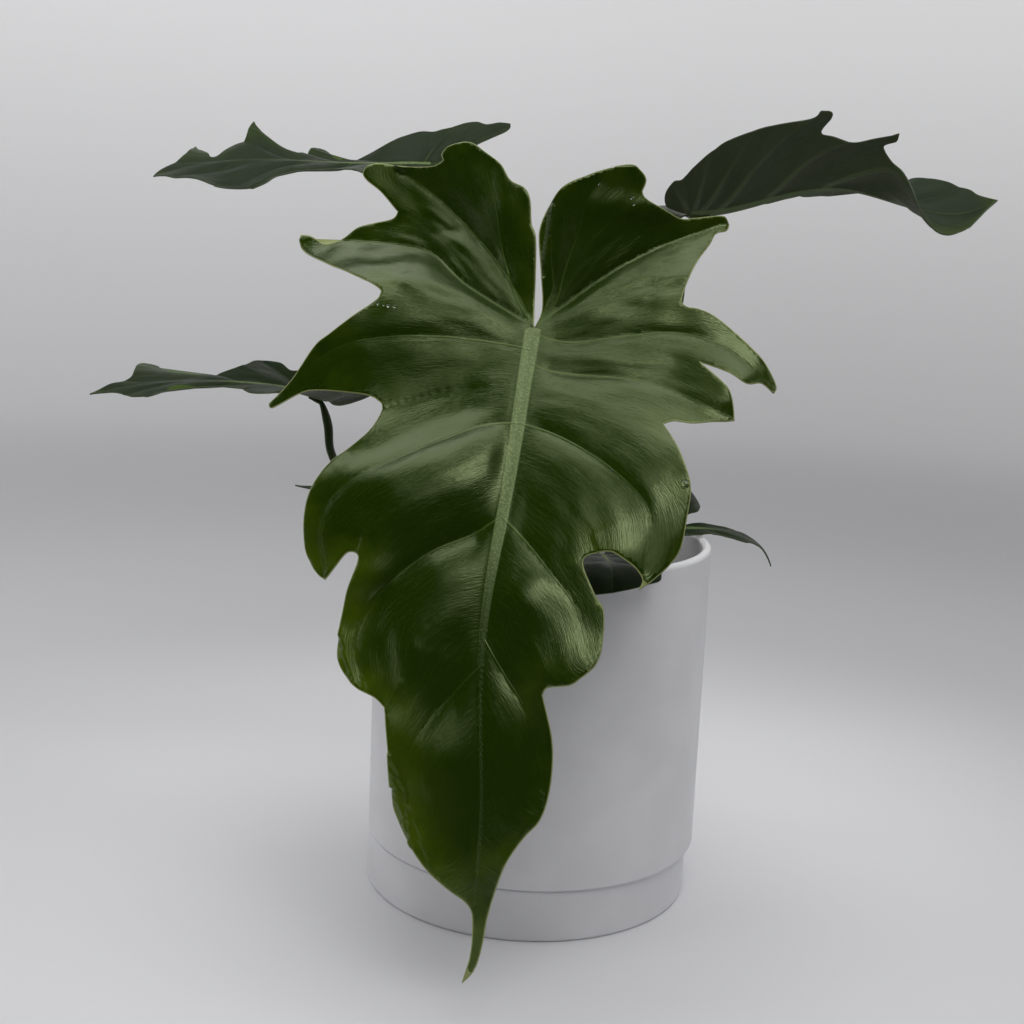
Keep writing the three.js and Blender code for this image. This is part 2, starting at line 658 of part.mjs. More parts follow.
function potGeometry() {
  const stepHeight = SHOULDER_HEIGHT + POT_WALL;
  const floor = POT_UNDERSIDE + POT_BASE;
  return turned([
    [0, POT_UNDERSIDE],
    [FOOT_RADIUS - FOOT_CHAMFER, POT_UNDERSIDE],
    [FOOT_RADIUS, POT_UNDERSIDE + FOOT_CHAMFER],
    [FOOT_RADIUS, SHOULDER_HEIGHT],
    ...quarterRound([POT_RADIUS - SHOULDER_ROUND, SHOULDER_HEIGHT + SHOULDER_ROUND], SHOULDER_ROUND, -90, 2),
    ...quarterRound([POT_RADIUS - LIP_ROUND, POT_HEIGHT - LIP_ROUND], LIP_ROUND, 0),
    ...quarterRound([POT_INSIDE + LIP_ROUND, POT_HEIGHT - LIP_ROUND], LIP_ROUND, 90),
    [POT_INSIDE, stepHeight + SHOULDER_SLOPE],
    [FOOT_INSIDE, stepHeight],
    [FOOT_INSIDE, floor + POT_CORNER],
    [FOOT_INSIDE - POT_CORNER, floor],
    [0, floor],
  ]);
}

function toSolid(geometry) {
  const bare = geometry.clone();
  bare.deleteAttribute('normal');
  bare.deleteAttribute('uv');
  const merged = mergeVertices(bare, 1e-4);
  const mesh = new wasm.Mesh({
    numProp: 3,
    vertProperties: new Float32Array(merged.attributes.position.array),
    triVerts: new Uint32Array(merged.index.array),
  });
  return new wasm.Manifold(mesh);
}

function fromSolid(solid) {
  const mesh = solid.getMesh();
  return closedGeometry(Array.from(mesh.vertProperties), Array.from(mesh.triVerts));
}

function hole(x, y, radius) {
  const height = HOLE_DEPTH * 3;
  const geometry = new THREE.CylinderGeometry(radius, radius, height, HOLE_SIDES).rotateX(Math.PI / 2);
  return toSolid(geometry.translate(x, y, SOIL_TOP - HOLE_DEPTH - GAP + height / 2));
}

// Soil with a plain hole for the stem and for each petiole
function soilGeometry() {
  const bottom = POT_UNDERSIDE + POT_BASE + GAP;
  const stepHeight = SHOULDER_HEIGHT + POT_WALL + GAP;
  const narrow = FOOT_INSIDE - SOIL_SIDE_GAP;
  const wide = POT_INSIDE - SOIL_SIDE_GAP;
  const rise = SOIL_TOP - SOIL_EDGE_HEIGHT;
  let soil = toSolid(turned([
    [0, bottom],
    [narrow - POT_CORNER, bottom],
    [narrow, bottom + POT_CORNER],
    [narrow, stepHeight],
    [wide, stepHeight + SHOULDER_SLOPE],
    [wide, SOIL_EDGE_HEIGHT],
    ...SOIL_MOUND.map(([radius, share]) => [radius, SOIL_EDGE_HEIGHT + share * rise]),
  ]));
  soil = soil.subtract(hole(...STEM_CENTRE, STEM_RADIUS + HOLE_CLEARANCE));
  for (const { petiole } of LEAVES) {
    soil = soil.subtract(hole(...petiole.foot, petiole.radius * FOOT_SWELL + HOLE_CLEARANCE));
  }
  return fromSolid(soil);
}

// Short upright stem, standing in its hole in the soil
function stemGeometry() {
  const bottom = SOIL_TOP - HOLE_DEPTH;
  const geometry = turned([
    [0, bottom],
    [STEM_RADIUS, bottom],
    ...STEM_RINGS.map(([inset, height]) => [STEM_RADIUS - inset, SOIL_TOP + height]),
    [0, STEM_TOP],
  ], STEM_STEPS);
  return geometry.translate(STEM_CENTRE[0], STEM_CENTRE[1], 0);
}

function named(name, geometry, look) {
  const mesh = new THREE.Mesh(geometry, look);
  mesh.name = name;
  return mesh;
}

function leafGroup(leaf) {
  const group = new THREE.Group();
  group.add(named(`${leaf.name}_blade`, bladeGeometry(leaf), BLADE));
  group.add(named(`${leaf.name}_petiole`, petioleGeometry(leaf), PETIOLE));
  return group;
}

const saucer = named('saucer', saucerGeometry(), CERAMIC);
saucer.position.x = SAUCER_SHIFT_X;

const plant = new THREE.Group();
plant.add(named('stem', stemGeometry(), STEM));
plant.add(...LEAVES.map(leafGroup));

const pottedPlant = new THREE.Group();
pottedPlant.add(saucer);
pottedPlant.add(named('pot', potGeometry(), CERAMIC));
pottedPlant.add(named('soil', soilGeometry(), SOIL));
pottedPlant.add(plant);

export default pottedPlant;
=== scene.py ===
"""Looks of a potted philodendron mayoi: veined blades, petioles, stem, soil, pot and saucer.

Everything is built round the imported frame, in metres. Blades are worked out in millimetres.
"""
import math

import bpy
import numpy as np
from bpy.props import FloatProperty, FloatVectorProperty, IntProperty, PointerProperty
from mathutils import Matrix, Vector, kdtree, noise
from mathutils.geometry import delaunay_2d_cdt


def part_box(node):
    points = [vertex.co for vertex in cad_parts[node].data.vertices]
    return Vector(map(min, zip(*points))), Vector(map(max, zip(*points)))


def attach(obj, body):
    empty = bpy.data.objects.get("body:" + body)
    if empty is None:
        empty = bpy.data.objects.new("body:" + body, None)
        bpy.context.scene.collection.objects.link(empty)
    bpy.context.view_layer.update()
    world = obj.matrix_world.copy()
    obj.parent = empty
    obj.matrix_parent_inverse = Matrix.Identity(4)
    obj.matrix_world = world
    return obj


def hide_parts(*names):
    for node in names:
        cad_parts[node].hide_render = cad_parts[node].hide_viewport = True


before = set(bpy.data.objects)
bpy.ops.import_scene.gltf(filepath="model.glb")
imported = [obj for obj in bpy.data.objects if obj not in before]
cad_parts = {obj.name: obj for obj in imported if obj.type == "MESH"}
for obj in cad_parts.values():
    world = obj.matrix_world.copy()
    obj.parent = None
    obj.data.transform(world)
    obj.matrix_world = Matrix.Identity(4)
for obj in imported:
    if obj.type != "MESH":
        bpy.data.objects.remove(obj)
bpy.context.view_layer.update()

bl_info = {
    "name": "Potted philodendron",
    "version": (1, 0, 0),
    "blender": (4, 5, 0),
    "location": "3D View > Sidebar > Plant",
    "description": "Builds the looks of a potted philodendron with lobed leaves",
    "category": "Object",
}

MM = 0.001
BODY = "root"

# Each leaf, nearly as in the part's source: here the upper right and the lower left leaf fold
# differently on their left half, and the rim leaf reaches further behind its joint. joint is
# where the petiole meets the blade, length how far the midrib runs from there to the tip, ears
# how far the basal lobes reach back. The lists run evenly from the joint to the tip: heading is
# the midrib's compass angle, pitch its slope, sway its sideways wander, fold the angle at which
# each half leaves the midrib and droop how it bends on, in degrees per millimetre. ear_lift is
# added to the slope behind the joint. wave is a ripple along the margins: its height and length,
# and where each half is in it, in degrees. outline is in flat millimetres, sideways then along
# the midrib, as smooth runs that each begin at the end of the one before. veins run from the
# midrib outwards: as points, or as the start on the midrib and the tip. fullness is how high each
# pillow between two veins rises, from the sinus to the tip, or sinks if below 0. puffs are single
# swellings and dents: place, height, and reach sideways and along. drops are water drops: place
# and radius.
LEAVES = {
    "front_leaf": {
        "joint": (-8.2, -62, 256),
        "length": 261,
        "ears": 90,
        "heading": [-99.5, -101, -92],
        "pitch": [-52, -69, -86],
        "sway": [0, -0.5, 1, -4.5, -2.5],
        "fold": {"left": [8, 7, 5], "right": [8, 7, 5]},
        "droop": {"left": [-0.2, -0.24, -0.3], "right": [-0.2, -0.24, -0.3]},
        "ear_lift": -8,
        "wave": {"height": 3, "length": 76, "left": 152, "right": 95},
        "outline": [
            [(4, -39), (7, -48), (9, -59), (12, -64), (18, -67), (23, -74), (30, -79), (37, -83),
             (45, -81), (48, -77), (47, -74)],
            [(52, -71), (66, -71), (75, -72), (80, -71), (82, -68), (80, -65), (73, -60),
             (65, -52)],
            [(68, -49), (82, -47), (90, -43), (98, -41), (106, -45), (111, -46)],
            [(111, -43), (106, -37), (82, -21), (65, -11), (63, -7), (66, -3), (81, 9), (88, 14),
             (98, 26), (108, 35)],
            [(106, 37), (94, 32), (86, 31), (65, 33), (59, 35), (57, 38), (60, 47), (67, 57),
             (73, 66), (78, 82), (77, 99), (73, 106), (69, 110), (65, 112)],
            [(61, 106), (57, 101), (53, 101), (52, 104), (55, 117), (56, 136), (54, 144), (47, 151),
             (39, 154), (35, 157)],
            [(34, 172), (33, 190), (30, 198), (25, 206), (18, 214), (9, 221), (3, 225), (0, 229),
             (-1, 237), (-1, 245), (0, 251), (1, 256)],
            [(-3, 250), (-5, 241), (-6, 229), (-9, 215), (-12, 207), (-17, 199), (-22, 193),
             (-25, 185), (-27, 173), (-27, 162), (-24, 147)],
            [(-26, 144), (-34, 142), (-38, 139), (-43, 134), (-45, 127), (-44, 114), (-40, 108),
             (-34, 98), (-34, 94), (-38, 92), (-43, 91), (-48, 93), (-53, 96), (-56, 100),
             (-55, 104)],
            [(-60, 99), (-65, 93), (-68, 87), (-69, 77), (-69, 65), (-63, 51), (-56, 40)],
            [(-60, 38), (-67, 38), (-75, 35), (-82, 33)],
            [(-81, 28), (-79, 21), (-76, 17), (-67, 11)],
            [(-78, 13), (-85, 16), (-91, 15), (-96, 18)],
            [(-97, 15), (-92, 8), (-86, 3), (-72, -7), (-65, -10), (-60, -11), (-58, -15),
             (-62, -33), (-66, -43), (-68, -49), (-72, -51), (-73, -54)],
            [(-71, -57), (-68, -57), (-59, -55), (-53, -54), (-46, -57), (-38, -61), (-36, -64)],
            [(-37, -69), (-34, -73), (-30, -75), (-19, -73), (-12, -70), (-6, -67), (-2, -63),
             (1, -56), (3, -48), (3, -41), (0, -25), (-2, -10), (0, 0)],
        ],
        "veins": {
            "right": [
                [(2, -5), (10, -17), (18, -37), (24, -60), (32, -78)],
                [(2, -5), (9, -17), (27, -39), (46, -56), (62, -67)],
                [(1, -2), (9, -8), (32, -21), (51, -36), (80, -41), (106, -44)],
                [(0, 10), (12, 8), (39, 8), (69, 12), (88, 20), (104, 33)],
                [(0, 43), (14, 45), (28, 52), (47, 64), (63, 76), (72, 92), (67, 108)],
                [(0, 82), (11, 90), (27, 99), (43, 115), (49, 132), (44, 148)],
                [(0, 139), (8, 148), (19, 161), (27, 175), (27, 192)],
            ],
            "left": [
                [(-1, -4), (-5, -19), (-3, -32), (-1, -46)],
                [(-1, -4), (-7, -13), (-9, -28), (-12, -44), (-14, -58), (-20, -70)],
                [(-1, -2), (-8, -10), (-24, -24), (-46, -40), (-70, -54)],
                [(0, 2), (-15, 5), (-36, 2), (-57, 0), (-76, 4), (-92, 14)],
                [(0, 16), (-12, 19), (-33, 20), (-53, 22), (-78, 31)],
                [(0, 43), (-12, 46), (-27, 53), (-41, 62), (-55, 76), (-56, 96)],
                [(0, 82), (-10, 90), (-23, 102), (-34, 114), (-40, 130)],
                [(0, 128), (-8, 140), (-19, 157), (-23, 180)],
            ],
        },
        "ear_fold": {"left": (2, 0.58), "right": (1, 0.56)},
        "fullness": {"left": [0.3, 0.2, 0.2, 0.7, 0.5, 0.5, 0.1, 0.7, 0.7],
                     "right": [0.3, 0.3, 0.5, 1.5, -1.0, 1.2, 0.9, 0.7]},
        "puffs": [
            (62, 46, 4.4, 14, 11), (55, 84, -1.5, 14, 9), (30, 100, 1.6, 18, 12),
            (48, 110, 4.2, 14, 10), (58, 130, -2.0, 10, 22), (30, 173, 4.6, 24, 16),
            (56, -31, -1.3, 11, 4.5), (72, -47, -1.2, 9, 4),
            (41, -44, -1.1, 9, 4), (62, -42, 1.3, 10, 5), (20, -54, 3.2, 7, 16),
            (-62, 98, 3.6, 24, 26), (-14, 111, 2.6, 12, 13), (-38, 138, 2.8, 16, 12),
            (-36, 97, 3.2, 24, 20), (-36, -57, 1.7, 17, 6),
            (-50, -20, -1.1, 12, 4), (-44, -8, -1.0, 13, 4), (-48, -31, -0.9, 10, 4),
            (-80, 19, 8.0, 15, 13),
        ],
        "drops": [(-67, 65, 1.8), (63, -3, 0.9), (60.5, -2.4, 0.6), (58.5, -2, 0.9), (56, -1.8, 0.7),
                  (-39, 61, 0.7), (-49, 51, 0.7), (-32, -61, 0.9), (-33.5, -58, 0.6),
                  (-18, -67, 0.6), (-23, -74, 0.5)],
    },
    "upper_left_leaf": {
        "joint": (-64, 85, 325.5),
        "length": 133,
        "ears": 46,
        "heading": [192, 198, 204],
        "pitch": [-2.5, -2.1, -0.2, -9.1, -20],
        "fold": {"left": [-8, -10, -10, -22, -8], "right": [34, 28, 9, 12, 16, 27, 11, 20, 20]},
        "droop": {"left": [0.1, 0, 0, 0], "right": [0.1, 0.1, 0]},
        "outline": [
            [(3, -8), (10, -16), (22, -30), (31, -43), (36, -45)],
            [(37, -40), (35, -33), (37, -28), (36, -22), (32, -11), (29, -5), (28, 2), (24, 11),
             (21, 20), (21, 30), (15, 42)],
            [(20, 45), (28, 45), (33, 49), (30, 54), (21, 57), (15, 62)],
            [(22, 69), (31, 76), (42, 79)],
            [(34, 82), (24, 86), (20, 94), (13, 100), (13, 103), (22, 103), (40, 105)],
            [(30, 108), (18, 113), (9, 120), (4, 128), (0, 133)],
            [(-8, 130), (-14, 127), (-23, 119), (-33, 112), (-35, 102), (-38, 94), (-37, 86),
             (-30, 77), (-25, 68), (-24, 55), (-26, 45)],
            [(-33, 40), (-42, 36), (-51, 29)],
            [(-50, 22), (-42, 16), (-36, 8)],
            [(-41, 2), (-44, -5), (-42, -12)],
            [(-36, -14), (-27, -17), (-24, -24), (-18, -29), (-10, -27), (-6, -16), (0, 0)],
        ],
        "veins": {
            "right": [(-1, (33, -42)), (4, (33, -15)), (18, (30, 48)), (36, (39, 78)),
                      (62, (36, 105)), (90, (9, 119))],
            "left": [(-1, (-18, -27)), (1, (-40, -11)), (14, (-48, 28)), (36, (-33, 84)),
                     (60, (-31, 107)), (90, (-14, 125))],
        },
    },
    "upper_right_leaf": {
        "joint": (58.6, 25, 305.5),
        "length": 138,
        "ears": 32,
        "heading": [6, 2, -4, -10, -14],
        "pitch": [4.3, 17.1, 10.9, -13.5, -8, 34.4],
        "fold": {"left": [8, 8, 8, 3, 1, 12, 30, 38, 34],
                 "right": [58, 58, 56, 54, 52, 46, -4, -26, -20]},
        "droop": {"left": [-0.1, -0.1, 0.1], "right": [0.25, 0.25, 0]},
        "outline": [
            [(2, -7), (4, -11), (10, -12), (16, -9), (17, -5), (23, 0), (28, 6), (30, 11), (33, 20),
             (35, 36), (35, 55), (38, 59)],
            [(37, 62), (34, 62), (28, 59), (26, 63), (24, 70), (27, 76), (30, 81), (33, 84)],
            [(29, 84), (24, 80), (20, 86), (22, 93), (27, 101), (30, 110), (27, 116), (19, 121),
             (10, 128), (0, 138)],
            [(-9, 132), (-16, 128), (-23, 117), (-28, 104), (-31, 98), (-32, 90)],
            [(-26, 84), (-14, 79), (-12, 71), (-19, 65)],
            [(-18, 58), (-14, 51), (-22, 45), (-34, 40), (-38, 31)],
            [(-33, 22), (-38, 14), (-46, 5)],
            [(-44, -6), (-35, -12), (-33, -22), (-25, -29), (-14, -29), (-6, -19), (0, 0)],
        ],
        "veins": {
            "right": [(-1, (14, -9)), (1, (27, 7)), (4, (33, 32)), (12, (36, 58)), (34, (31, 82)),
                      (60, (27, 110)), (92, (14, 124))],
            "left": [(-1, (-20, -27)), (1, (-44, 3)), (8, (-36, 30)), (28, (-18, 63)),
                     (46, (-31, 92)), (84, (-18, 122))],
        },
    },
    "lower_left_leaf": {
        "joint": (-103.1, 20, 215.4),
        "length": 105,
        "ears": 32,
        "heading": [194, 198, 202],
        "pitch": [18.8, 6.5, 0.6, -7.1, -13.8],
        "fold": {"left": [16, 6, 0, -8, -4, -4, -10, -18, -8],
                 "right": [22, 20, 16, 16, 9, 6, 10, 20, 14]},
        "ear_lift": -46,
        "outline": [
            [(3, -7), (7, -16), (14, -25), (21, -26), (25, -18), (24, -11)],
            [(31, -8), (35, -2)],
            [(30, 6), (22, 11), (21, 16), (28, 20), (31, 26), (28, 31), (19, 37), (15, 46),
             (12, 53), (8, 57)],
            [(12, 63), (14, 68), (23, 71), (33, 72), (35, 77), (28, 81), (12, 85), (6, 90), (5, 95),
             (0, 105)],
            [(-3, 97), (-7, 91), (-12, 88), (-16, 83), (-17, 78), (-14, 74), (-9, 69), (-9, 60),
             (-8, 46)],
            [(-14, 40), (-22, 36), (-27, 29)],
            [(-24, 21), (-15, 17), (-17, 10), (-26, 5), (-30, -4)],
            [(-24, -10), (-19, -13), (-21, -21), (-15, -28), (-8, -24), (-4, -14), (0, 0)],
        ],
        "veins": {
            "right": [(-1, (20, -22)), (1, (32, -3)), (10, (29, 27)), (36, (33, 75)), (64, (7, 91))],
            "left": [(-1, (-16, -24)), (1, (-28, -4)), (12, (-25, 28)), (38, (-15, 80)),
                     (66, (-7, 92))],
        },
    },
    "right_small_leaf": {
        "joint": (49, 8, 163),
        "length": 69,
        "ears": 16,
        "heading": [22, 20, 10],
        "pitch": [5.4, -0.1, -7.9, -27.6, -68.4],
        "fold": {"left": [50, 50, 46, 20, 12, 10, 10], "right": [-6, -8, -10, -12, -12]},
        "outline": [
            [(2, -6), (6, -12), (12, -12), (16, -5)],
            [(14, 3), (10, 8), (8, 14), (6, 28), (9, 43), (6, 51), (3, 59), (0, 69)],
            [(-2, 61), (-3, 52), (-5, 43), (-5, 37), (-3, 23), (-2, 18)],
            [(-6, 17), (-8, 21), (-10, 26), (-16, 30), (-20, 30), (-22, 26), (-21, 17), (-18, 6),
             (-14, -6), (-8, -12), (-3, -8), (0, 0)],
        ],
        "veins": {
            "right": [(-1, (13, -8)), (10, (7, 24)), (28, (8, 45))],
            "left": [(-1, (-12, -6)), (3, (-19, 14)), (10, (-16, 28)), (28, (-4, 44))],
        },
    },
    "rim_small_leaf": {
        "joint": (25.1, -38, 161),
        "length": 50,
        "ears": 12,
        "heading": [-84, -86, -88],
        "pitch": [3, 4, 3, -6, -48, -80],
        "fold": {"left": [4], "right": [9]},
        "droop": {"left": [-0.35], "right": [-0.15]},
        "outline": [
            [(2, -6), (6, -9), (12, -9), (18, -3), (22, 8), (23, 18), (21, 28), (16, 37), (11, 43),
             (7, 46)],
            [(1, 45), (-8, 43), (-14, 41), (-19, 39), (-20, 35), (-21, 28), (-24, 20), (-24, 12),
             (-21, 3), (-15, -4), (-9, -8), (-4, -8), (0, 0)],
        ],
        "veins": {
            "right": [(-1, (14, 0)), (6, (21, 20)), (18, (15, 35))],
            "left": [(-1, (-16, 1)), (6, (-22, 20)), (18, (-17, 35))],
        },
    },
    "left_small_leaf": {
        "joint": (-48.2, 0, 174.1),
        "length": 64,
        "ears": 16,
        "heading": [184, 186, 190],
        "pitch": [12.9, 7.7, 1.6, -1.3, 10.4],
        "fold": {"left": [-6, -8, -10, -12, -12], "right": [14, 12, 10]},
        "ear_lift": -10,
        "outline": [
            [(3, -6), (7, -13), (13, -13), (17, -6), (15, 3), (12, 9)],
            [(16, 15), (15, 22), (9, 27), (7, 34)],
            [(9, 41), (6, 49), (2, 56), (0, 64)],
            [(-3, 54), (-7, 48), (-10, 40), (-8, 33)],
            [(-10, 26), (-17, 21), (-18, 13), (-13, 8), (-16, 2), (-18, -6), (-13, -13), (-7, -13),
             (-3, -6), (0, 0)],
        ],
        "veins": {
            "right": [(-1, (15, -8)), (6, (14, 19)), (22, (7, 43))],
            "left": [(-1, (-15, -8)), (6, (-16, 17)), (22, (-9, 42))],
        },
    },
}

# Petioles: radius, foot on the soil and the points passed on the way to the joint, in millimetres
PETIOLES = {
    "front_leaf": (2.7, (-3, -9), [(-3.4, -11, 165), (-4, -18, 200), (-5.5, -32, 232),
                                   (-6.5, -45, 247.5), (-7.2, -53, 251.5)]),
    "upper_left_leaf": (2.5, (-9, 13), [(-11, 16, 165), (-18, 27, 215), (-33, 46, 270),
                                        (-49, 66, 304), (-58, 78, 316)]),
    "upper_right_leaf": (2.5, (11, 10), [(13, 11, 160), (26, 14, 196), (44, 19, 228),
                                         (55, 23, 262), (56, 24.5, 290)]),
    "lower_left_leaf": (2.1, (-14, 3), [(-19, 4.5, 151), (-42, 8, 162), (-70, 13, 168),
                                        (-90, 17, 176), (-99.5, 19, 190), (-101.5, 19.6, 203)]),
    "right_small_leaf": (1.6, (14, -1), [(17, 0, 147), (27, 3, 156), (38, 6, 159.8)]),
    "rim_small_leaf": (1.6, (6, -10), [(8, -13, 147), (14, -21, 155), (20, -30, 158.2)]),
    "left_small_leaf": (1.6, (-11, -6), [(-13, -5.5, 148), (-22, -4, 160), (-36, -1.5, 168)]),
}

# What a leaf has where its entry says nothing else. ear_fold gives, for each basal lobe, the
# number of the vein beyond which it folds towards the front, and by how much per millimetre.
PLAIN_LEAF = {
    "sway": [0],
    "droop": {"left": [0], "right": [0]},
    "ear_lift": 0,
    "wave": None,
    "ear_fold": {"left": (1, 0), "right": (1, 0)},
    "fullness": {},
    "puffs": [],
    "drops": [],
}
LEAVES = {name: {**PLAIN_LEAF, **leaf} for name, leaf in LEAVES.items()}

# The front leaf is the measure for the others. All relief is in millimetres on a leaf of
# FULL_LENGTH. It shrinks with a leaf's length to the power RELIEF_POWER, and the spacing of its
# mesh to the power MESH_POWER.
FULL_LENGTH = 261
RELIEF_POWER = 0.7
MESH_POWER = 0.5

# Midrib half width from the joint to the tip
MIDRIB_HALF_WIDTH = [3.1, 2.8, 2.4, 2.0, 1.3, 0.7, 0.5, 0.4, 0.3]

# A basal lobe reaches its own slope over EAR_SETTLE. The ripple has its stated height
# RIPPLE_REACH away from the midrib. Folds and puffs move the blade in the direction FRONT.
EAR_SETTLE = 15
RIPPLE_REACH = 60
RIPPLE_POWER = 1.5
FRONT = (0, -1, 0)

# The pillow between two side veins is usually FULL_PILLOW wide, and a wider one rises up to
# WIDEST_PILLOW times as high. Its crest lies nearer the vein on the joint's side by CREST_SHIFT,
# and the bottom of a dip nearer the other vein by DIP_SHIFT. A vein is sunk by half the fullness
# of its two pillows, at least by LEAST_SUNK, and the midrib by MIDRIB_SHARE.
FULL_PILLOW = 36
WIDEST_PILLOW = 1.2
CREST_SHIFT = 0.25
DIP_SHIFT = -0.6
LEAST_SUNK = 0.25
MIDRIB_SHARE = 0.3

# The relief grows over JOINT_CALM from the joint, and loses VEIN_FADE of itself along the veins.
# Dips and wrinkles grow over MIDRIB_CALM from the midrib, and wrinkles over MARGIN_CALM inwards.
JOINT_CALM = 9
VEIN_FADE = 0.7
VEIN_FADE_POWER = 1.5
MIDRIB_CALM = (2, 26)
MARGIN_CALM = 14

# The crease along a vein, and the valley along the midrib, which begins behind the joint
CREASE_WIDTH = 3
VALLEY_WIDTH = 8
VALLEY_POWER = 1.5
VALLEY_START = -14

# Wrinkles are drawn out along the veins by WRINKLE_STRETCH, with VEIN_SPREAD from vein to vein.
# Each octave has a size, a share of the height and a shift of the seed. They are LIVELIER on the
# upper part, from v = LIVELY_SPAN[0] to v = LIVELY_SPAN[1]. The margin has its own ripple.
WRINKLE_STRETCH = 3.6
VEIN_SPREAD = 26
WRINKLE_OCTAVES = ((9, 1.0, 0), (4.2, 0.6, 7))
WRINKLES_AT_MARGIN = 0.35
WRINKLES_AT_MIDRIB = 0.25
LIVELIER = 0.9
LIVELY_SPAN = (30, -20)
MARGIN_RIPPLE = 0.5
MARGIN_RIPPLE_SIZE = 12

# The midrib stands up as a ridge that ends at these shares of the length. Underneath it is
# UNDER_MIDRIB of its half width thick, and each side vein is a rib of RIB_HEIGHT.
RIDGE_HEIGHT = 0.5
RIDGE_END = (0.3, 0.6)
UNDER_MIDRIB = 0.75
UNDER_MIDRIB_WIDTH = 1.15
RIB_HEIGHT = 0.45
RIB_WIDTH = 0.9

# Shares of the mesh spacing: vein and grid points keep this clear of the outline and the veins
VEIN_CLEARANCE = 0.6
GRID_CLEARANCE = 0.62
OUTLINE_SPACING = 0.8
LEAST_TURN = 1e-9

# Flat maps of a blade are laid out in tenths of a metre
MAP_SCALE = 10 * MM


def colour_setting(name, description, default):
    return FloatVectorProperty(name=name, description=description, default=default, size=3,
                               subtype="COLOR")


def length_setting(name, description, default, least=0.0):
    return FloatProperty(name=name, description=description, default=default, min=least,
                         unit="LENGTH")


def power_setting(name, description, default):
    return FloatProperty(name=name, description=description, default=default, min=0.0,
                         unit="POWER")


class LeafSettings(bpy.types.PropertyGroup):
    """Sizes and colours of the blades and petioles"""

    spacing: length_setting(
        "Mesh spacing", "Distance between the points of a full-sized blade", 1.25 * MM, 0.5 * MM)
    thickness: length_setting(
        "Thickness", "Thickness of a blade between its veins", 0.6 * MM, 0.2 * MM)
    vein_depth: length_setting(
        "Pillow height", "Rise of a full-sized blade between two side veins", 4.2 * MM)
    crease: length_setting(
        "Crease", "Depth of the narrow crease along each side vein", 1.2 * MM)
    pucker: length_setting(
        "Pucker", "Height of the soft wrinkles between the side veins", 0.65 * MM)
    older_colour: colour_setting(
        "Older leaves", "Duller green of the leaves round the large one", (0.0155, 0.0255, 0.010))
    upper_colour: colour_setting(
        "Upper face", "Deep green of the large leaf's glossy upper face", (0.0145, 0.032, 0.0010))
    young_colour: colour_setting(
        "Margins", "Yellower green towards the margins and the tip", (0.058, 0.094, 0.003))
    midrib_colour: colour_setting("Midrib", "Pale green of the midrib", (0.195, 0.265, 0.105))
    vein_colour: colour_setting(
        "Side veins", "Green of the side veins on the upper face", (0.050, 0.088, 0.014))
    margin_colour: colour_setting(
        "Edge", "Cream line round the edge of the blade", (0.26, 0.29, 0.11))
    under_colour: colour_setting(
        "Underside", "Dull grey green of the underside", (0.035, 0.049, 0.020))
    petiole_colour: colour_setting("Petioles", "Green of the leaf stalks", (0.030, 0.050, 0.009))


class PotSettings(bpy.types.PropertyGroup):
    """Sizes and colours of the pot, its saucer and the soil"""

    lip_round: length_setting("Lip round", "Radius of the pot's rounded lip", 1.7 * MM)
    ceramic_colour: colour_setting("Ceramic", "White of the matte ceramic", (0.76, 0.76, 0.78))
    soil_colour: colour_setting("Soil", "Brown of the moist potting soil", (0.030, 0.020, 0.013))
    chip_count: IntProperty(
        name="Chips", description="Number of bark and pumice chips on the soil",
        default=420, min=0)


class StageSettings(bpy.types.PropertyGroup):
    """Camera, floor and lights"""

    lens: FloatProperty(
        name="Lens", description="Focal length of the camera", default=51.98,
        subtype="DISTANCE_CAMERA")
    softbox_power: power_setting("Softbox", "Power of the light above the camera", 2.7)
    halo_power: power_setting("Softbox halo", "Power of the dim light round the softbox", 2.4)
    overhead_power: power_setting("Overhead", "Power of the wide light above the plant", 7.8)
    fill_power: power_setting("Left fill", "Power of the dull light at the left", 3.0)
    wall_glow: FloatProperty(
        name="Wall glow", description="Brightness of the lit wall round the stage", default=0.46,
        min=0.0)
    floor_colour: colour_setting("Floor", "Pale grey of the floor", (0.80, 0.80, 0.82))


def smoothstep(low, high, x):
    t = np.clip((x - low) / (high - low), 0, 1)
    return t * t * (3 - 2 * t)


def blend(values, t):
    """Smooth value at t (0 to 1) of a list of evenly spaced values, by Catmull-Rom."""
    values = np.asarray(values, float)
    t = np.asarray(t, float)
    last = len(values) - 1
    if last == 0:
        return values[0] + 0 * t
    x = np.clip(t, 0, 1) * last
    i = np.minimum(x.astype(int), last - 1)
    f = x - i
    if values.ndim > 1:
        f = f[..., None]
    a, b, c, d = (values[np.clip(i + k, 0, last)] for k in (-1, 0, 1, 2))
    return b + 0.5 * f * (c - a + f * (2 * a - 5 * b + 4 * c - d + f * (3 * (b - c) + d - a)))


def length_along(line):
    """Distance along a line of points from its start, at each point."""
    steps = np.linalg.norm(np.diff(line, axis=0), axis=1)
    return np.concatenate([[0], np.cumsum(steps)])


def smooth_line(points, spacing):
    """Points about every spacing along a smooth line through the given points."""
    points = np.asarray(points, float)
    fine_steps = 30 * (len(points) - 1)
    dense = blend(points, np.linspace(0, 1, fine_steps + 1))
    length = length_along(dense)
    count = max(2, int(math.ceil(length[-1] / spacing)) + 1)
    at = np.linspace(0, length[-1], count)
    return np.stack([np.interp(at, length, dense[:, k]) for k in range(dense.shape[1])], -1)


